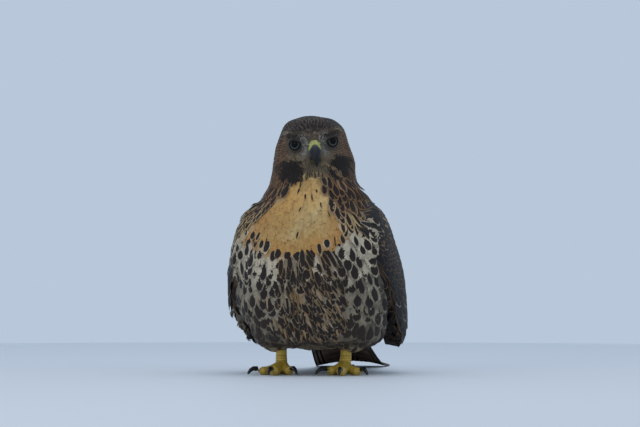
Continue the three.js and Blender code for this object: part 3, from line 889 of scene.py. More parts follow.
class Coat:
    """Collects feathers and makes one joined mesh of them."""

    def __init__(self, name):
        self.name = name
        self.parts = []
        self.size = 0

    def add(self, verts, normals, loops, starts, colours, bake, vane):
        self.parts.append((verts, normals, loops + self.size, starts, colours, bake, vane))
        self.size += len(verts)

    def make(self, material, slot, *stands_for):
        """The joined mesh, as a finished piece."""
        starts, at = [], 0
        for part in self.parts:
            starts.append(part[3] + at)
            at += len(part[2])
        verts, normals, loops, _, colours, bake, vane = (np.concatenate(p) for p in zip(*self.parts))
        starts = np.concatenate(starts)
        mesh = bpy.data.meshes.new(self.name)
        mesh.vertices.add(len(verts))
        mesh.vertices.foreach_set("co", verts.ravel())
        mesh.loops.add(len(loops))
        mesh.loops.foreach_set("vertex_index", loops)
        mesh.polygons.add(len(starts))
        mesh.polygons.foreach_set("loop_start", starts)
        mesh.update(calc_edges=True)
        set_colours(mesh, colours)
        for name, uv in (("OFBake", bake), ("vane", vane)):
            mesh.uv_layers.new(name=name).data.foreach_set("uv", uv.ravel())
        piece = linked(self.name, mesh)
        smooth_faces(piece)
        mesh.normals_split_custom_set_from_vertices(normals.tolist())
        finish_piece(piece, material, slot, *stands_for)


def course(root, way, normal, length, rise, sink):
    """The middle line of each feather, from under its neighbours to its lifted tip."""
    tip, tip_normal, _ = on_skin(root + way * length[:, None])
    tip_way = along_surface(way, tip_normal)
    start = root - normal * sink[:, None]
    end = tip + tip_normal * rise[:, None]
    reach = np.linalg.norm(end - start, axis=1)[:, None]
    start_way = unit(way + normal * (rise / length)[:, None] * 1.9)
    end_way = unit(tip_way - tip_normal * 0.06)
    return start, start_way * reach, end, end_way * reach, normal, tip_normal


def along_course(line, v):
    """Places, upward and sideways directions at shares v (feathers x places) of the middle lines."""
    start, start_way, end, end_way, normal, end_normal = (a[:, None, :] for a in line)
    t = v[..., None]
    t2, t3 = t * t, t**3
    from_start, to_end = 2 * t3 - 3 * t2 + 1, 3 * t2 - 2 * t3
    place = from_start * start + (t3 - 2 * t2 + t) * start_way + to_end * end + (t3 - t2) * end_way
    slope = 6 * (t2 - t) * (start - end) + (3 * t2 - 4 * t + 1) * start_way + (3 * t2 - 2 * t) * end_way
    up = unit(normal * (1 - t) + end_normal * t)
    return place, up, unit(np.cross(slope, up))


PATCH = 0.0027  # width of a feather's own patch in the bake's map
MARK_PATCH = 0.003  # from there to the patch of its mark
ROUNDING = 0.35  # how far the shading of a feather turns towards its sides
SWEEP = 0.06  # how far a vane's sides stay behind its shaft


def corners_of(faces):
    """The vertex and the face of each corner."""
    return np.concatenate(faces), np.repeat(np.arange(len(faces)), [len(f) for f in faces])


def lay(coat, line, width, v, x, z, flat, of_face, colours, bake):
    """Sets feathers, all with the same faces, on their lines, and adds them to a coat. v, x and z are
    feathers by vertices, and colours and bake are feathers by corners."""
    count, corners = v.shape
    place, up, across = along_course(line, v)
    verts = place + across * (x * width[:, None])[..., None] + up * (z * width[:, None])[..., None]
    normals = unit(up + across * (x * ROUNDING)[..., None])
    loops = (flat[None, :] + (np.arange(count) * corners)[:, None]).ravel()
    first = np.flatnonzero(np.diff(of_face, prepend=-1))
    starts = (first[None, :] + (np.arange(count) * len(flat))[:, None]).ravel()
    vane = np.stack([x[:, flat] * 0.5 + 0.5, v[:, flat]], -1)
    coat.add(
        verts.reshape(-1, 3), normals.reshape(-1, 3), loops, starts,
        colours.reshape(-1, 3), bake.reshape(-1, 2), vane.reshape(-1, 2),
    )


def own_tone(count, amount):
    return 1 + rng.normal(0, amount, (count, 1, 1))


def root_painted_shade(v, amount):
    """Feathers are painted darker towards their roots, as shade under the feathers that overlap them."""
    return 1 - amount * (1 - np.clip(v, 0, 1))[..., None]


def soft_feathers(
    coat, line, root, index, width, ground, mark, size, spans, barb_count, camber=0.16, fray=0.1, tones=0.07
):
    """Loose feathers of barbs in small locks. spans gives where the mark starts and ends along each."""
    count = len(root)
    v_all, x_all, z_all, faces, is_mark = [], [], [], [], []
    step = 0.8 / barb_count
    for sign in (-1, 1):
        for j in range(barb_count + 1):
            central = j == barb_count
            if central and sign < 0:
                continue
            low = 0.1 + step * j
            reach = 0.30 - 0.10 * j / barb_count
            tip_v = np.minimum(low + reach * (1 + rng.normal(0, fray * 1.6, count)), 1.04)
            middle_v = low + 0.5 * reach
            outline = np.sqrt(np.clip(1 - ((middle_v - 0.56) / 0.52) ** 2, 0.05, 1))
            tip_x = sign * outline * (1 + rng.normal(0, fray, count))
            if central:
                low, tip_v, tip_x = 0.82, 1.0 + rng.normal(0, 0.03, count), rng.normal(0, 0.08, count)
            long = np.maximum(spans[:, 1] - spans[:, 0], 1e-6)
            share = np.clip((low + 0.6 * step - spans[:, 0]) / long, 0, 1)
            shape = np.sqrt(np.clip(np.sin(np.pi * share), 0, 1))
            marked = (size * shape > 0.12) & (not central)
            first = np.where(marked, np.clip(size * shape, 0.15, 0.88), 0.4)
            second = (1 + first) / 2
            lean = rng.normal(0, 0.04, count)
            for f, upper in ((0, 0), (0, 1), (first, 0), (first, 1), (second, 0), (second, 1), (1, 0)):
                f = np.broadcast_to(np.asarray(f, float), (count,))
                span = step * 1.5 * (1 - f**2.2) * upper
                v_all.append(low + (tip_v - low) * f**1.35 + span)
                x_all.append(tip_x * f**0.85 + (0.22 * sign * (f - f * f) * upper if central else 0))
                z_all.append(-camber * (tip_x * f) ** 2 + (0.05 * upper + lean) * f)
            at = 7 * (len(faces) // 3)
            strip = [(at, at + 2, at + 3, at + 1), (at + 2, at + 4, at + 5, at + 3), (at + 4, at + 6, at + 5)]
            faces += strip if sign > 0 else [f[::-1] for f in strip]
            is_mark += [marked, np.zeros(count, bool), np.zeros(count, bool)]
    v, x, z, is_mark = (np.stack(a, 1) for a in (v_all, x_all, z_all, is_mark))
    tone = own_tone(count, tones)
    flat, of_face = corners_of(faces)
    dark = is_mark[:, of_face][..., None]
    # Colours darkened towards the roots: painted shade under overlapping feathers.
    colours = np.where(dark, mark[:, None, :], ground[:, None, :]) * tone * root_painted_shade(v[:, flat], 0.14)
    local = np.stack([x[:, flat] * 0.5, v[:, flat] - 0.5], -1) * PATCH
    bake = map_at(root, index)[:, None, :] + np.where(dark, [MARK_PATCH, 0.0], [0.0, 0.0]) + local
    lay(coat, line, width, v, x, z, flat, of_face, colours, bake)


def contour_feathers(
    coat, line, root, index, width, ground, mark, size, spans,
    camber=0.2, fray=0.05, fringe=8, blunt=0.0, tones=0.06,
):
    """Vanes with a soft-edged mark along the shaft and a loose fringe. blunt squares the mark's root."""
    count = len(width)
    start, end = spans[:, 0], spans[:, 1]
    long = end - start
    rows = (  # how far along the feather each row stands, and how wide the mark is there
        (0 * start, 0),
        (start - 0.06, 0),
        (start + 0.05, 0.28 + blunt),
        (start + 0.28 * long, 0.62 + 0.3 * blunt),
        (start + 0.55 * long, 0.9 + 0.1 * blunt),
        (start + 0.8 * long, 1.0),
        (end - 0.03, 0.82),
        (end + 0.025, 0),
        (0 * start + 1, 0),
    )

    def outline(v):
        grown = 0.35 + 0.65 * ramp(v, 0, 0.5)
        return grown * np.sqrt(np.clip(1 - (np.maximum(v - 0.6, 0) / 0.42) ** 2, 0.03, 1))

    v_all, x_all, z_all, inked = [], [], [], []
    for v, share in rows:
        v = np.clip(v, 0, 1)
        marked = size * share > 0.06
        middle_share = np.clip(size * share, 0.1, 0.86)
        inner = np.where(marked, middle_share * (1 + rng.normal(0, 0.06, count)) * 0.88, 0.35)
        outer = np.where(marked, middle_share * (1 + rng.normal(0, 0.06, count)) * 1.1 + 0.04, 0.7)
        wide = outline(v)
        for k, u in enumerate((-1.0, -outer, -inner, 0.0, inner, outer, 1.0)):
            u = np.broadcast_to(np.asarray(u, float), (count,))
            ragged = rng.normal(0, fray, count) if k in (0, 6) else 0
            jagged = rng.normal(0, 0.4 * fray, count) if share == 0 else 0
            v_all.append(v - SWEEP * u * u * (v > 0.5) + jagged)
            x_all.append(u * wide * (1 + ragged))
            z_all.append(-camber * (u * wide) ** 2 + 0.02 * (k == 3))
            inked.append(marked if k in (2, 3, 4) else np.zeros(count, bool))
    faces = []
    for r in range(len(rows) - 1):
        for k in range(6):
            a = r * 7 + k
            faces.append((a, a + 1, a + 8, a + 7))
    for sign in (-1, 1):  # loose barb tips along both sides
        for j in range(fringe):
            v0 = 0.34 + 0.6 * (j + rng.random(count)) / fringe
            v1 = v0 + 0.09
            v2 = v0 + 0.17 + rng.normal(0, 0.02, count)
            out = 1.1 + np.abs(rng.normal(0, 1.6 * fray, count)) - 0.14 * ramp(v0, 0.7, 0.95)
            at = len(v_all)
            for v, u in ((v0, 0.93), (v1, 0.93), (v2, out)):
                wide = outline(np.minimum(v, 0.97))
                v_all.append(v - SWEEP * (v > 0.5))
                x_all.append(sign * u * wide)
                z_all.append(-camber * (u * wide) ** 2 - 0.02)
                inked.append(np.zeros(count, bool))
            faces.append((at, at + 2, at + 1) if sign > 0 else (at, at + 1, at + 2))
    for j in range(4):  # and over the end
        mid = -0.45 + 0.3 * j
        at = len(v_all)
        tip = 1.07 + rng.normal(0, 0.03, count) - 0.05 * abs(mid)
        for v, u in ((0.95, mid - 0.2), (0.95, mid + 0.2), (tip, mid * 1.1)):
            v_all.append(np.broadcast_to(np.asarray(v, float), (count,)))
            x_all.append(np.full(count, u * 0.55))
            z_all.append(np.full(count, -camber * 0.1 - 0.01))
            inked.append(np.zeros(count, bool))
        faces.append((at, at + 1, at + 2))
    v, x, z, inked = (np.stack(a, 1) for a in (v_all, x_all, z_all, inked))
    tone = own_tone(count, tones)
    # Colours darkened towards the roots: painted shade under overlapping feathers.
    colours = np.where(inked[..., None], mark[:, None, :], ground[:, None, :]) * tone * root_painted_shade(v, 0.16)
    local_x = np.where(inked, 0.0004 + 0.0018 * (1 - np.abs(x)), -0.0018 + 0.0016 * (1 - np.abs(x)))
    bake = map_at(root, index)[:, None, :] + np.stack([local_x, (v - 0.5) * PATCH], -1)
    flat, of_face = corners_of(faces)
    lay(coat, line, width, v, x, z, flat, of_face, colours[:, flat], bake[:, flat])


# Sizes by kind of feather: spacing, length, half width and rise of the tip, in millimetres
SIZES = np.array([
    (1.5, 4.8, 1.2, 0.6),  # face
    (2.7, 9.0, 2.1, 1.4),  # crown
    (5.6, 21, 4.6, 2.8),  # neck
    (4.0, 19, 4.2, 0.8),  # breast
    (6.4, 22, 6.0, 3.0),  # belly
    (8.5, 31, 8.5, 3.4),  # back
    (6.2, 20, 5.2, 2.6),  # thigh
    (6.2, 20, 5.6, 1.6),  # lining of the wing
]) * MM


def cere_room(points):
    """True where beak and cere leave the face bare."""
    h = in_head(points)
    return (np.hypot(h[:, 0] / 8.2, (h[:, 2] + 3.2) / 12.0) < 1) & (h[:, 1] < -36)


tri_on_wing = on_wing(tri_middle)
tri_kind = plumage(tri_middle, tri_on_wing)[3]
tri_bare = (lid_gap(tri_middle) < 0.16) | cere_room(tri_middle)


def turned(way, normal, spread):
    """Ways turned about the normals by a small random angle."""
    angle = rng.normal(0, spread, len(way))[:, None]
    return unit(way * np.cos(angle) + np.cross(normal, way) * np.sin(angle))


def strew(name, kinds, spread, stretch=1.0, plain=False, firm_vane=False, **style):
    """One coat over the spots of some kinds, of loose feathers or firmer vanes."""
    coat = Coat(name)
    root, normal, index = scatter(np.where(np.isin(tri_kind, kinds) & ~tri_bare, SIZES[tri_kind, 0], 0.0))
    wing = on_wing(root)
    way = turned(lie(root, normal, wing), normal, spread)
    ground, mark, size, kind = plumage(root, wing)
    length, width, rise = (SIZES[kind, k] for k in (1, 2, 3))
    vary = stretch * (1 + rng.normal(0, 0.1, len(root)))
    length, width = length * vary, width * vary
    flank = ramp(behind_flanks(root), -30, -8) * ramp(root[:, 2], 0.21, 0.19) * np.isin(kind, (BELLY, NECK))
    low_right = ramp(root[:, 2], 0.12, 0.1) * (root[:, 0] < 0) * ramp(-body_turn(root), 80, 95)
    low_right = low_right * (kind != WING_COAT)
    rise = (rise + 3.0 * MM * flank) * (1 - 0.8 * low_right)
    length = length * (1 - 0.35 * low_right)
    clear = lid_gap(root + way * length[:, None] * 0.95) > 0.10
    if BELLY in kinds:
        clear &= ~on_wing(on_skin(root + way * length[:, None])[0])
    root, normal, index, way, ground, mark, size, kind, length, width, rise = (
        a[clear] for a in (root, normal, index, way, ground, mark, size, kind, length, width, rise)
    )
    count = len(root)
    size = size * (1 + rng.normal(0, 0.12, count))
    if plain:
        to_wing = past_wing_front(root)
        by_edge = (root[:, 2] < 0.2) & (root[:, 2] > np.where(root[:, 0] > 0, 0.0, 0.09))
        # Painted shade: the down is darkened towards its mark colour along the front of the wings and the
        # flanks' edge, where body and wing meet.
        shaded = np.maximum(ramp(to_wing, -10, -3), ramp(behind_flanks(root), -12, -3) * by_edge)
        # Painted shade: the upper belly's down is made greyer towards the front edge of the wing.
        grey_shade_by_wing = ramp(to_wing, -24, -8) * (root[:, 2] > 0.13) * (kind == BELLY)
        ground = mixed(ground, GREY_CREAM * 0.8, 0.75 * grey_shade_by_wing)
        ground = mixed(ground, mark, 0.85 * shaded)
        size = size * (np.abs(body_turn(root)) > 112)
    if BACK in kinds:
        mottled = rng.random(count) < 0.3
        ground = np.where(mottled[:, None], CREAM * 0.75, ground)
        size = size * np.where(mottled, 0.84, 1.0)
    spans = np.tile([0.5, 0.97], (count, 1))
    spans[np.isin(kind, (NECK, BACK, WING_COAT))] = (0.12, 0.95)
    spans[kind <= CROWN] = (-0.3, 1.02)
    line = course(root, way, normal, length, rise, np.full(count, 0.0008))
    make = contour_feathers if firm_vane else soft_feathers
    make(coat, line, root, index, width, ground, mark, size, spans, **style)
    return coat


BODY_MIDDLE = np.array([0, BODY_AXIS, 0.105])


def skin_from_middle(tilt, turn):
    """Where a line from the middle of the body, tilted from upright and turned from straight ahead,
    leaves the skin."""
    way = Vector((math.sin(tilt) * math.sin(turn), -math.sin(tilt) * math.cos(turn), math.cos(tilt)))
    hit, _, index, _ = tree.ray_cast(Vector(BODY_MIDDLE), way)
    return (np.array(hit), index) if hit else (None, -1)


def lengths_along(points):
    """Length of a line from its start to each of its places."""
    return np.concatenate([[0], np.cumsum(np.linalg.norm(np.diff(points, axis=0), axis=1))])


def body_rows(down, aside, first, last):
    """Staggered rows of places round the front of the body, between two tilts in degrees."""
    tilts = np.radians(np.arange(first, last, 0.5))
    front = np.array([skin_from_middle(t, 0)[0] for t in tilts])
    run = lengths_along(front)
    places_found, triangles = [], []
    at, r = 0, -1
    while at < run[-1]:
        grown = 1 + 0.34 * at / run[-1]
        at, r = at + down * grown, r + 1
        tilt = np.interp(at, run, tilts)
        turns = np.radians(np.arange(-125, 126, 2.5))
        ring = np.array([skin_from_middle(tilt, t)[0] for t in turns])
        lengths = lengths_along(ring)
        middle_length = np.interp(0, turns, lengths)
        reach = (np.arange(-40, 41) + (r % 2) / 2) * aside * grown + middle_length
        reach = reach[(reach > 0) & (reach < lengths[-1])]
        reach = reach + rng.normal(0, 0.13 * aside, len(reach))
        tilt_here = tilt + rng.normal(0, 0.11, len(reach)) * down / 0.09
        for turn, tilted in zip(np.interp(reach, lengths, turns), tilt_here):
            hit, index = skin_from_middle(tilted, turn)
            if hit is not None:
                places_found.append(hit)
                triangles.append(index)
    index = np.array(triangles)
    return np.array(places_found), tri_normal[index], index


def spotted_rows():
    """The belly's outer feathers in staggered rows, each with its dark drop."""
    coat = Coat("belly_coat")
    root, normal, index = body_rows(9.0 * MM, 10.2 * MM, 34, 172)
    wing = on_wing(root)
    way = turned(lie(root, normal, wing), normal, 0.12)
    length = 27 * MM * (1 + rng.normal(0, 0.08, len(root)))
    tip = on_skin(root + way * length[:, None] * 0.8)[0]
    ground, mark, size, kind = plumage(tip, on_wing(tip))
    length = length * rng.uniform(0.85, 1.1, len(root))
    keep = np.isin(kind, (BELLY, THIGH)) & ~on_wing(on_skin(root + way * length[:, None])[0])
    root, normal, index, way, length, ground, mark, size, kind, tip = (
        a[keep] for a in (root, normal, index, way, length, ground, mark, size, kind, tip)
    )
    count = len(root)
    size = np.clip(size * (1 + rng.normal(0, 0.12, count)), 0.2, 0.86)
    width = (6.0 + 2.6 * ramp(tip[:, 2], 0.15, 0.06)) * MM * (1 + rng.normal(0, 0.08, count))
    length = length * (1 + 0.2 * ramp(tip[:, 2], 0.15, 0.07))
    middle = bell(body_turn(tip) / 34) * ramp(tip[:, 2], 0.158, 0.128)
    flank = ramp(behind_flanks(root), -34, -10) * ramp(root[:, 2], 0.21, 0.19)
    upper_ground, _, _, above = plumage(root, on_wing(root))
    hidden = (above == BREAST) | (above == NECK)
    ground = mixed(ground, upper_ground, 0.7 * (above == BREAST) * rng.uniform(0.3, 1, count))
    rise = np.where(hidden, 2.2, 3.6 + 3.0 * flank) * MM * (1 + rng.normal(0, 0.1, count))
    width = np.where(hidden, width * rng.uniform(0.7, 1.05, count), width)
    begins, ends = 0.44 - 0.22 * middle + rng.normal(0, 0.04, count), 0.95 + rng.normal(0, 0.012, count)
    spans = np.stack([begins, ends], 1)
    line = course(root, way, normal, length, rise, np.where(hidden, 0.0022, 0.0006))
    contour_feathers(
        coat, line, root, index, width, ground, mark, size, spans, camber=0.22, fray=0.07, fringe=10
    )
    return coat


def slivers(name, root, index, way, length, width, rise, ground, inked, **style):
    """A coat of single narrow feathers, some of them all dark."""
    coat = Coat(name)
    count, normal = len(root), tri_normal[index]
    line = course(root, along_surface(way, normal), normal, length * MM, rise * MM, np.full(count, 0.0005))
    contour_feathers(
        coat, line, root, index, width * MM, ground, np.tile(DARK, (count, 1)), np.where(inked, 0.84, 0.0),
        np.tile((-0.3, 0.97), (count, 1)), camber=0.3, **style,
    )
    return coat


def strewn_on_front(tilts, turns, low, high):
    """Places on the front of the body between two heights, and their triangles."""
    found = [skin_from_middle(math.radians(a), math.radians(b)) for a, b in zip(tilts, turns)]
    found = [f for f in found if f[0] is not None and low < f[0][2] < high]
    return np.array([f[0] for f in found]), np.array([f[1] for f in found])


def belly_streaks():
    """Long narrow feathers down the middle of the belly, dark and tawny by turns."""
    root, index = strewn_on_front(rng.uniform(62, 128, 240), rng.normal(2, 14, 240), 0.05, 0.15)
    count = len(root)
    way = lie(root, tri_normal[index], np.zeros(count, bool)) + rng.normal((0.35, 0, 0), 0.14, (count, 3))
    inked = rng.random(count) < 0.66
    width = np.where(inked, rng.uniform(2.4, 4.0, count), rng.uniform(1.1, 1.8, count))
    pale = mixed(STRIPE, GREY_CREAM, rng.random(count)) * rng.uniform(0.75, 1.2, (count, 1))
    length, rise = rng.uniform(20, 28, count), rng.uniform(4.0, 5.6, count)
    return slivers("belly_streaks", root, index, way, length, width, rise, pale, inked, fray=0.08, fringe=4)


def breast_streaks():
    """A few thin dark shaft streaks on the plain breast, more of them towards the bird's left."""
    tilts, turns = rng.uniform(14, 62, 210), rng.uniform(-52, 46, 210)
    root, index = strewn_on_front(tilts, turns, 0.155, 0.232)
    ground, _, _, kind = plumage(root, np.zeros(len(root), bool))
    chance = 0.1 + 0.4 * ramp(body_turn(root), 8, 28) + 0.25 * ramp(root[:, 2], 0.195, 0.22)
    chosen = (kind == BREAST) & (rng.random(len(root)) < chance)
    root, index, ground = root[chosen], index[chosen], ground[chosen]
    count = len(root)
    way = lie(root, tri_normal[index], np.zeros(count, bool)) + rng.normal(0, 0.1, (count, 3))
    length, width = rng.uniform(9, 15, count), rng.uniform(0.9, 1.5, count)
    rise, inked = np.full(count, 1.7), np.ones(count, bool)
    return slivers("breast_streaks", root, index, way, length, width, rise, ground, inked, fray=0.1, fringe=3)


def bristles():
    """Fine bristles over the lores and the brow's root, pale and dark by turns."""
    count = 700
    across = rng.uniform(4, 16, count) * rng.choice([-1, 1], count)
    high = np.where(np.abs(across) < 7.5, rng.uniform(7, 15, count), rng.uniform(-11, 14, count))
    start = head_centre + (np.stack([across, np.full(count, -58.0), high], 1) * MM) @ HEAD.T
    root, normal, index = on_skin(start)
    length = rng.uniform(5.5, 9, count)
    way = turned(lie(root, normal, np.zeros(count, bool)), normal, 0.25)
    clear = ~cere_room(root) & (lid_gap(root) > 0.2) & (lid_gap(root + way * length[:, None] * MM) > 0.12)
    root, index, length, way = (a[clear] for a in (root, index, length, way))
    count = len(root)
    pale = rng.random(count) < 0.55
    colour = np.where(pale[:, None], PALE_BRISTLE, DARK_BRISTLE) * rng.uniform(0.8, 1.1, (count, 1))
    width, rise, inked = np.full(count, 0.42), rng.uniform(1.2, 2.2, count), np.zeros(count, bool)
    return slivers("lore_bristles", root, index, way, length, width, rise, colour, inked, fray=0.05, fringe=1)


soft = feather_material("soft_feathers", roughness=0.82, density=18.0, bump=0.15, sheen=0.04)
firm = feather_material("firm_feathers", roughness=0.66, density=30.0, bump=0.3, sheen=0.02)

strew("face_coat", (FACE,), barb_count=3, spread=0.12, tones=0.12).make(soft, "head_feathers")
strew("head_coat", (CROWN,), barb_count=4, spread=0.12, tones=0.14).make(soft, "head_feathers")
strew("neck_coat", (NECK,), spread=0.12, firm_vane=True, blunt=0.3, tones=0.1).make(soft, "neck_feathers")
strew(
    "breast_coat", (BREAST,), spread=0.14, barb_count=9, camber=0.05, tones=0.03, fray=0.12
).make(soft, "body_feathers")
strew(
    "belly_down", (BELLY, THIGH), plain=True, spread=0.25, barb_count=10, fray=0.14
).make(soft, "body_feathers")
spotted_rows().make(soft, "body_feathers")
belly_streaks().make(soft, "body_feathers")
breast_streaks().make(soft, "body_feathers")
bristles().make(soft, "head_feathers")
strew("back_coat", (BACK,), spread=0.1, firm_vane=True, blunt=0.4, stretch=1.1).make(soft, "body_feathers")
strew("wing_lining", (WING_COAT,), spread=0.08, firm_vane=True, blunt=0.4).make(soft, "wing_feathers")

# The skin's own colours
ground, mark, size, kind = plumage(skin_co, on_wing(skin_co))
tone = mixed(ground, mark, np.select([kind == BREAST, kind <= CROWN], [0.05, 0.75], 0.45))
tone = mixed(tone, srgb(50, 50, 46), ramp(lid_gap(skin_co), 0.14, 0.04))
paint_corners(skin, tone)
finish_piece(skin, painted_skin("skin_under_feathers"), "body_feathers", *FLESH)


# Wings
ARM = 350.0  # millimetres from wrist to tip, to turn the coverts' lengths into shares of it


def wing_rows(coat, sign, rows):
    """Rows of coverts on the outer face of a wing. Each row: along, across from and to, how many,
    length, half width, height over the wing, slant towards the lower edge, and the edges' colour."""
    for along, low, high, number, length, width, height, slant, edge in rows:
        across = np.linspace(low, high, number) + rng.normal(0, 0.015, number)
        start = along + rng.normal(0, 0.004, number)
        reach = length * (1 + rng.normal(0, 0.05, number))
        end = start + reach / ARM
        end_across = across - slant * np.linspace(1, 0, number)
        root = wing_place(start, across, height - 4.6)
        tip = wing_place(end, end_across, height - 1.0)
        mid = wing_place((start + end) / 2, (across + end_across) / 2, height - 1.6)
        first, last = wing_normal(start, across), wing_normal(end, end_across)
        reach = np.linalg.norm(tip - root, axis=1)[:, None]
        begin = unit(4 * mid - 3 * root - tip) * reach
        finish = unit(3 * tip + root - 4 * mid) * reach
        line = [a.copy() for a in (root, begin, tip, finish, first, last)]
        if sign < 0:
            for a in line:
                a[:, 0] *= -1
        seen = (behind_flanks(line[2]) > -2) & (line[2][:, 2] > (0.0 if sign > 0 else 0.062))
        if not seen.any():
            continue
        line = [a[seen] for a in line]
        number = int(seen.sum())
        near, _, index = on_skin(line[0])
        tint = rng.normal(1, 0.07, (number, 1))
        # Painted shade: the coverts and their edges darken towards the wing's lower edge.
        shaded_low_part = ramp(across[seen], -0.45, -0.85)
        shaded = mixed(WING_DARK, SHADED_WING_BLACK, shaded_low_part)
        edge = mixed(edge, EDGE * 0.45, shaded_low_part)
        edge = np.where(rng.random((number, 1)) < 0.14, CREAM * 0.7, edge)
        contour_feathers(
            coat, line, near, index, np.full(number, width * MM), edge * tint, shaded * tint,
            np.full(number, 0.86), np.tile([0.0, 0.965], (number, 1)),
            camber=0.16, fray=0.02, fringe=2, blunt=0.6,
        )


def covert_rows():
    rows = []
    for k in range(12):  # small coverts at the shoulder
        rows.append((-0.03 + 0.02 * k, -0.85, 1.0, 14 + k // 2, 21, 5.4, 1.6, 0.03, EDGE))
    for k in range(4):  # middle coverts
        rows.append((0.20 + 0.035 * k, -0.88, 1.0, 15, 34, 7.6, 2.0, 0.03, EDGE))
    for k in range(2):  # great coverts
        rows.append((0.33 + 0.055 * k, -0.88, 0.7, 14, 52, 10, 2.2, 0.04, EDGE_PALE))
    return rows[::-1]


def blade(coat, centre, normal, inner, outer, thick, colours, cell):
    """A long closed feather with a raised shaft: rows of places, half widths and colours."""
    rows = len(centre)
    tangent = unit(np.gradient(centre, axis=0))
    across = unit(np.cross(tangent, normal))
    up = unit(np.cross(across, tangent))
    columns = np.array([-1, -0.6, -0.2, -0.05, 0.05, 0.2, 0.6, 1])
    ring_x = np.concatenate([columns, columns[1:-1][::-1]])
    top = np.array([0.1, 1, 1, 2.2, 2.2, 1, 1, 0.1, -1, -1, -1.6, -1.6, -1, -1]) * thick / 2
    verts = np.zeros((rows, len(ring_x), 3))
    for k, x in enumerate(ring_x):
        reach = x * (outer if x > 0 else inner)
        bend = -0.10 * np.abs(x) ** 2 * np.maximum(inner, outer)
        verts[:, k] = centre + across * reach[:, None] + up * (bend + top[k])[:, None]
    ring = len(ring_x)
    faces, face_x = [], []
    for r in range(rows - 1):
        for k in range(ring):
            a, b = r * ring + k, r * ring + (k + 1) % ring
            faces.append((a, b, b + ring, a + ring))
            face_x.append(k)
    flat = np.array(faces).ravel()
    rows_of, ring_of = flat // ring, flat % ring
    u = ring_x[ring_of] * 0.23 + np.where(np.repeat(face_x, 4) >= 7, 0.75, 0.25)
    v = rows_of / (rows - 1)
    caps = [tuple(range(ring))[::-1], tuple(range((rows - 1) * ring, rows * ring))]
    cap_flat = np.concatenate(caps)
    loops = np.concatenate([flat, cap_flat])
    starts = np.concatenate([np.arange(len(faces)) * 4, [len(flat), len(flat) + ring]])
    u = np.concatenate([u, np.full(2 * ring, 0.25)])
    v = np.concatenate([v, np.zeros(ring), np.ones(ring)])
    x_of = np.concatenate([ring_x[ring_of], ring_x[cap_flat % ring]])
    shade = colours(v, x_of)
    cell_x, cell_y, cell_w, cell_h = cell
    bake = np.stack([cell_x + (0.03 + 0.94 * u) * cell_w, cell_y + (0.02 + 0.96 * v) * cell_h], 1)
    vane = np.stack([x_of * 0.5 + 0.5, v], 1)
    outwards = up[:, None, :] * np.sign(top)[None, :, None]
    tilt = unit(outwards + across[:, None, :] * (ring_x * 0.25)[None, :, None])
    coat.add(verts.reshape(-1, 3), tilt.reshape(-1, 3), loops, starts, shade, bake, vane)


def blade_profile(v, tip, root=0.35):
    """Half width along a blade, with the share of its length that the rounded tip takes."""
    grown = root + (1 - root) * ramp(v, 0, 0.3)
    ending = np.sqrt(np.clip(1 - np.clip((v - (1 - tip)) / (tip * 1.02), 0, 1) ** 2, 0.004, 1))
    return grown * ending


def grid_cells(number, columns):
    """Equal parts of the bake's map, as corner and size."""
    rows = math.ceil(number / columns)
    return [((k % columns) / columns, (k // columns) / rows, 1 / columns, 1 / rows) for k in range(number)]


def wing_blades(name, sign, blades, columns):
    """A coat of flight feathers on the wing's face. Each: along and across at root and tip, height at
    root and tip, half widths of the lower and upper vane, length of the tip, and its colours."""
    coat = Coat(name)
    cells = grid_cells(len(blades), columns)
    for one, cell in zip(blades, cells):
        root, root_side, end, end_side, root_height, end_height, low, high, tip, colours = one
        v = np.linspace(0, 1, 20)
        along = root + (end - root) * v
        across = root_side + (end_side - root_side) * v**0.9
        centre = wing_place(along, across, root_height + (end_height - root_height) * v)
        normal = wing_normal(along, across)
        if sign < 0:
            centre[:, 0] *= -1
            normal[:, 0] *= -1
        width = blade_profile(v, tip)
        inner, outer = high * width * MM, low * width * MM
        if sign > 0:
            inner, outer = outer, inner
        blade(coat, centre, normal, inner, outer, 0.7 * MM, colours, cell)
    return coat


def flight_colours(dark, edge, rim):
    """Colours of a flight feather: dark, with faint bands and a paler edge."""
    def colours(v, x):
        tint = mixed(dark, edge, ramp(np.abs(x), rim - 0.04, rim + 0.04) * 0.8)
        bands = 0.5 + 0.5 * np.sin(v * 2 * math.pi * 7)
        return mixed(tint, dark * 1.7, 0.35 * ramp(bands, 0.4, 0.9) * (np.abs(x) < rim - 0.1))

    return colours


def secondary(t, sign):
    """A flight feather of the arm, from the outermost and lowest (0) to the innermost (1)."""
    lowest = -0.86 + 0.72 * (sign < 0) * (1 - t)
    colours = flight_colours(SHADED_WING_BLACK * (1 + 0.5 * t), EDGE_PALE, 0.88)
    return (
        0.34 - 0.03 * t, lowest + 1.15 * t, 0.66 + 0.10 * t, lowest - 0.06 + 1.45 * t - 0.3 * t * t,
        -0.8 + 0.5 * t, 0.4 + 2.2 * t, 9.5, 8.5, 0.14, colours,
    )


def primary(t):
    """A flight feather of the hand, from the lowest (0) to the highest (1)."""
    return (
        0.5, -0.75 + 1.1 * t, 0.86 + 0.14 * math.sin(1.2 + 1.4 * t) ** 2, -0.7 + 1.0 * t,
        -5 + 0.5 * t, -1.6 + 2.0 * t, 7.5 - 2 * t, 7, 0.3, flight_colours(SHADED_WING_BLACK, EDGE, 0.92),
    )


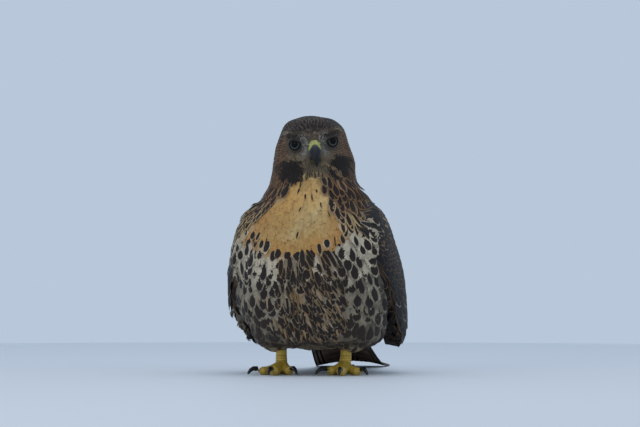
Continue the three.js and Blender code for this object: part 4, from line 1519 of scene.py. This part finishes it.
for side, sign in SIDES:
    coverts = Coat(f"wing_coverts_{side}")
    wing_rows(coverts, sign, covert_rows())
    coverts.make(firm, "wing_feathers")
    secondaries = [secondary(k / 10, sign) for k in range(11)]
    wing_blades(f"secondaries_{side}", sign, secondaries, 6).make(firm, "flight_feathers")
    primaries = [primary(k / 8) for k in range(9)]
    wing_blades(f"primaries_{side}", sign, primaries, 5).make(firm, "flight_feathers", f"wingtip_{side}")

# Tail
tail_tree = solid_tree("tail")
tail_low, tail_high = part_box("tail")


def tail_height(y, share):
    """Height between the under (0) and upper (1) face of the tail's solid, on its middle line."""
    top = tail_tree.ray_cast(Vector((0.0005, y, 0.3)), Vector((0, 0, -1)))[0]
    low = tail_tree.ray_cast(Vector((0.0005, y, -0.1)), Vector((0, 0, 1)))[0]
    return low.z + (top.z - low.z) * share


def tail_colours(v, x):
    brown, dark, tip = srgb(96, 74, 56), srgb(44, 36, 31), srgb(186, 172, 148)
    wave = v * 9.5 + 0.12 * np.abs(x)
    bands = ramp(np.cos((wave - 0.4) * 2 * math.pi), 0.35, 0.75)
    last = ramp(v, 0.885, 0.9) * ramp(v, 0.955, 0.945)
    tint = mixed(brown, dark, np.maximum(bands * (v < 0.9), last))
    return mixed(tint, tip, ramp(v, 0.962, 0.975))


tail_coat = Coat("tail_feathers")
tail_start, tail_end = tail_low.y - 0.012, tail_high.y - 0.0005
for k, cell in zip(range(12), grid_cells(12, 6)):
    side = -1 if k % 2 else 1
    pair = k // 2  # 0 is the middle pair, on top
    v = np.linspace(0, 1, 26)
    y = tail_start + (tail_end - 0.0012 * pair - tail_start) * v
    level = 0.93 - 0.13 * pair - (0.05 if side < 0 else 0)
    z = np.array([tail_height(float(np.clip(t, tail_low.y + 0.004, tail_high.y - 0.004)), level) for t in y])
    z = np.maximum(z, 0.0043 + 0.0006 * (5 - pair))
    x = side * (5 + pair * (3.2 + 2.3 * v)) * MM
    centre = np.stack([x, y, z], 1)
    normal = unit(np.stack([0.03 * x / MM * (1 - v) ** 0.7, np.zeros(26), np.full(26, 1.0)], 1))
    width = blade_profile(v, 0.07, 0.5)
    blade(tail_coat, centre, normal, 13.5 * width * MM, 13.5 * width * MM, 0.6 * MM, tail_colours, cell)
tail_coat.make(firm, "tail_feathers", "tail")

# Beak, cere and eyes
upper = remeshed("upper_beak", "beak_upper", voxel=0.0004, rounds=12)
BLUE_HORN = srgb(24, 30, 44)
horn = horn_material("beak_horn", BLUE_HORN, srgb(7, 7, 9), 0.42)
finish_piece(upper, horn, "horn", "beak_upper")

lower = remeshed("lower_beak", "beak_lower", voxel=0.0004, rounds=10)
co = places(lower)
closed = 2.4 * ramp(in_head(co)[:, 1], -31, -41)
set_places(lower, co + closed[:, None] * MM * HEAD[:, 2])
lower_horn = horn_material(
    "lower_beak_horn", srgb(146, 142, 72), srgb(20, 24, 32), 0.42, axis=1, base=-37, tip=-43
)
finish_piece(lower, lower_horn, "horn", "beak_lower")

cere = remeshed("waxy_cere", "cere", voxel=0.0004, rounds=40)
co = places(cere)
normals = vertex_normals(cere)
for sign in (1, -1):
    nostril = from_head(sign * 7.6, -46.5, 2.5)
    away = (co - nostril) @ HEAD / MM
    oval = np.hypot(away[:, 1] / 2.0, away[:, 2] / 1.35)
    close = np.abs(away[:, 0]) < 3.5
    dent = np.where(close, (1 - ramp(oval, 0.55, 1.0)) * 1.6 - bell((oval - 1.25) / 0.3) * 0.3, 0)
    co = co - normals * dent[:, None] * MM
set_places(cere, co)
cere_skin = waxy_material("cere_skin", (srgb(176, 174, 80), srgb(130, 136, 84)), 300.0)
# The beak's dark root reaches into the cere in an arch over the bill's ridge
n = Nodes(cere_skin.node_tree)
away = n.away_from(from_head(0, 0, 4.2))
aside, back, high = (n.dot(away, HEAD[:, k] / MM) for k in (0, 1, 2))
arch = n.math("ADD", high, n.math("MULTIPLY", n.math("MULTIPLY", aside, aside), 0.17))
arch = n.math("MINIMUM", arch, n.math("ADD", high, 6.5))
wedge = n.math("MAXIMUM", arch, n.math("MULTIPLY", n.math("ADD", back, 46.5), 0.8))
waxy = n.tree.nodes["Principled BSDF"].inputs["Base Color"].links[0].from_socket
n.to_shader({"Base Color": n.mix(n.between(wedge, 0.6, -0.4), waxy, (*BLUE_HORN, 1))})
finish_piece(cere, cere_skin, "cere_skin", "cere")


def eye_material(side):
    """A dark pupil in a grey iris with a dark rim; painted light makes the iris paler towards its lower outer
    side, and the brow's painted shadow darkens its upper inner side.
    """
    material, n = start_material(f"eye_{side}_iris")
    ahead, up, outer = eye_axes[side]
    away = n.away_from(eye_centres[side])
    way = n.add("ShaderNodeVectorMath", {0: away}, operation="NORMALIZE").outputs[0]
    angle = n.math("ARCCOSINE", n.dot(way, ahead))
    rays = n.noise(way, 26.0, 4.0)
    iris = n.mix(n.between(rays, 0.35, 0.65), (*srgb(46, 50, 47), 1), (*srgb(82, 88, 82), 1))
    # Painted light on the lower outer side of the iris, and the brow's painted shadow on its upper inner
    # side.
    lit_side = n.dot(way, unit(outer * 0.6 - up))
    iris = n.mix(n.between(lit_side, 0.1, 0.55), iris, (*srgb(98, 104, 99), 1))
    iris = n.mix(n.between(lit_side, 0.0, -0.4), iris, (*srgb(38, 42, 41), 1))
    shaded = n.mix(n.between(angle, 0.64, 0.52), (*srgb(50, 55, 53), 1), iris)
    dark = n.mix(n.between(angle, 0.72, 0.64), (*srgb(12, 12, 13), 1), shaded)
    n.to_shader({
        "Base Color": n.mix(n.between(angle, 0.475, 0.43), dark, (*srgb(3, 3, 4), 1)),
        "Roughness": 0.25,
        "Coat Weight": 0.14,
        "Coat Roughness": 0.03,
        "Specular IOR Level": 0.04,
    })
    return material


for side, centre in eye_centres.items():
    ball = added(
        f"eyeball_{side}", bpy.ops.mesh.primitive_uv_sphere_add,
        segments=56, ring_count=36, radius=EYE_RADIUS, location=tuple(centre),
    )
    bpy.ops.object.transform_apply(location=True, rotation=True, scale=True)
    co = places(ball)
    way = unit(co - centre)
    angle = np.arccos(np.clip(way @ eye_axes[side][0], -1, 1))
    bulge = 0.7 * MM * np.clip(1 - (angle / 0.72) ** 2, 0, 1)
    set_places(ball, co + way * bulge[:, None])
    smooth_faces(ball)
    finish_piece(ball, eye_material(side), "eye", f"eye_{side}")

# Rims of the lids, along the edge of each opening
TUBE = 0.25  # half width of the rim's tube before it is laid on the eye
lid_skin = waxy_material("lid_skin", (srgb(12, 12, 12), srgb(26, 26, 24)), 900.0, 0.7, 0.4)
Nodes(lid_skin.node_tree).to_shader({"Specular IOR Level": 0.15})
for side, centre in eye_centres.items():
    ahead, up, outer = eye_axes[side]
    rim = added(
        f"lid_rim_{side}", bpy.ops.mesh.primitive_torus_add,
        major_segments=72, minor_segments=10, major_radius=1.0, minor_radius=TUBE,
    )
    co = places(rim)
    turn = np.arctan2(co[:, 1], co[:, 0])
    out, high = np.hypot(co[:, 0], co[:, 1]) - 1.0, co[:, 2]
    near, far = np.full(len(co), 0.1), np.full(len(co), 0.95)
    for _ in range(24):
        half = (near + far) / 2
        inside = lid_edge(half * np.cos(turn), half * np.sin(turn)) < 0
        near, far = np.where(inside, half, near), np.where(inside, far, half)
    tube = 0.62 * MM / TUBE
    reach = near + out * tube / EYE_RADIUS
    u, w = reach * np.cos(turn), reach * np.sin(turn)
    way = np.sqrt(np.maximum(1 - u * u - w * w, 0.05))[:, None] * ahead + u[:, None] * outer + w[:, None] * up
    set_places(rim, centre + unit(way) * (EYE_RADIUS + 0.75 * MM + high * tube)[:, None])
    smooth_faces(rim)
    edit_all(rim, bpy.ops.mesh.normals_make_consistent, inside=False)
    finish_piece(rim, lid_skin, "cere_skin")

# Feet and claws
TOES = (("inner", -30), ("middle", 4), ("outer", 42), ("hind", 172))  # turn from straight ahead, in degrees
FOOT = np.array([37, -4 + SHIFT / MM, 0])
leg_skin = painted_skin("scaly_skin", 0.5)
claw_horn = horn_material("claw_horn", srgb(26, 25, 28), srgb(20, 20, 22), 0.28)
for side, sign in SIDES:
    leg = remeshed(f"leg_{side}", f"foot_{side}", f"shank_{side}", voxel=0.00055, rounds=14, swell=0.0002)
    co = places(leg)
    normals = vertex_normals(leg)
    x, y, z = co[:, 0] / MM * sign - FOOT[0], co[:, 1] / MM - FOOT[1], co[:, 2] / MM
    best, reach = np.full(len(co), 1e9), np.zeros(len(co))
    for _, turn in TOES:
        ahead = np.array([math.sin(math.radians(turn)), -math.cos(math.radians(turn))])
        along = x * ahead[0] + y * ahead[1]
        off = np.abs(x * ahead[1] - y * ahead[0]) + np.where(along < 0, 100, 0)
        reach = np.where(off < best, along, reach)
        best = np.minimum(best, off)
    reach = np.where(z > 15, z + 2, reach)
    saw = (reach / 2.6) % 1.0
    scute = np.clip(ramp(normals[:, 2], 0.0, 0.5) + ramp(z, 14, 16) * ramp(-normals[:, 1], 0, 0.5), 0, 1)
    relief = (0.42 * saw - 0.2) * scute * (z > 1.5)
    co = co + normals * relief[:, None] * MM
    co[:, 2] = np.maximum(co[:, 2], 0) + 10 * MM * ramp(z, 21, 27)
    set_places(leg, co)
    groove = scute * (bell(saw / 0.16) + bell((saw - 1) / 0.1))
    tint = mixed(srgb(204, 172, 64), srgb(112, 90, 38), np.clip(0.85 * groove, 0, 1))
    tint = mixed(tint, srgb(168, 140, 58), ramp(z, 10, 2))
    paint_corners(leg, tint)
    finish_piece(leg, leg_skin, "leg_scales", f"foot_{side}", f"shank_{side}")
    for toe, _ in TOES:
        claw = remeshed(f"talon_{toe}_{side}", f"claw_{toe}_{side}", voxel=0.00035, rounds=8)
        finish_piece(claw, claw_horn, "horn", f"claw_{toe}_{side}")

# Floor, light and camera
floor = added(
    "floor", bpy.ops.mesh.primitive_cylinder_add,
    vertices=128, radius=1.5, depth=0.02, location=(0, -0.35, -0.0101),
)
paint, n = start_material("pale_floor")
n.to_shader({"Base Color": (0.70, 0.74, 0.79, 1), "Roughness": 0.6})
floor.data.materials.append(paint)


def soft_light(name, place, target, size, power, colour):
    data = bpy.data.lights.new(name, "AREA")
    data.shape = "DISK"
    data.size = size
    data.energy = power
    data.color = colour
    light = linked(name, data)
    light.location = place
    light.rotation_euler = (Vector(target) - Vector(place)).to_track_quat("-Z", "Y").to_euler()


soft_light("sky_softbox", (0.1, -0.5, 2.2), (0, -0.05, 0.15), 2.0, 9, (1, 0.92, 0.82))
soft_light("front_fill", (-1.1, -2.4, 0.9), (0, -0.1, 0.17), 1.4, 9, (1, 0.9, 0.78))
soft_light("side_fill", (2.0, -1.2, 1.0), (0, -0.1, 0.17), 1.2, 3, (1, 0.93, 0.84))
world = bpy.data.worlds.new("plain_backdrop")
bpy.context.scene.world = world
world.use_nodes = True
Nodes(world.node_tree).fill(
    world.node_tree.nodes["Background"], {"Color": (*srgb(184, 200, 218), 1), "Strength": 1.0}
)
bpy.context.scene.view_settings.view_transform = "Standard"

# The camera stands far off and shows the whole width of the photo, 640 pixels
DISTANCE = 5.0
MM_PER_PIXEL = 1.15
IMAGE_WIDTH = 640 * MM_PER_PIXEL * MM
SENSOR = 36.0
CERE_ASIDE = 6.9 * MM  # of the picture's middle, towards the picture's left
AIM_HEIGHT = 0.1869
right = Vector(ACROSS_VIEW)
ahead = Vector((-math.sin(CAMERA_TURN), math.cos(CAMERA_TURN), 0))
cere_middle = Vector(middle("cere"))
aim = right * (cere_middle.dot(right) + CERE_ASIDE) + ahead * cere_middle.dot(ahead)
aim.z = AIM_HEIGHT
view = bpy.data.cameras.new("camera")
view.sensor_width = SENSOR
view.lens = SENSOR * DISTANCE / IMAGE_WIDTH
view.clip_start, view.clip_end = 0.1, 50
camera = linked("camera", view)
camera.location = aim - ahead * DISTANCE
camera.rotation_euler = ahead.to_track_quat("-Z", "Y").to_euler()
bpy.context.scene.camera = camera
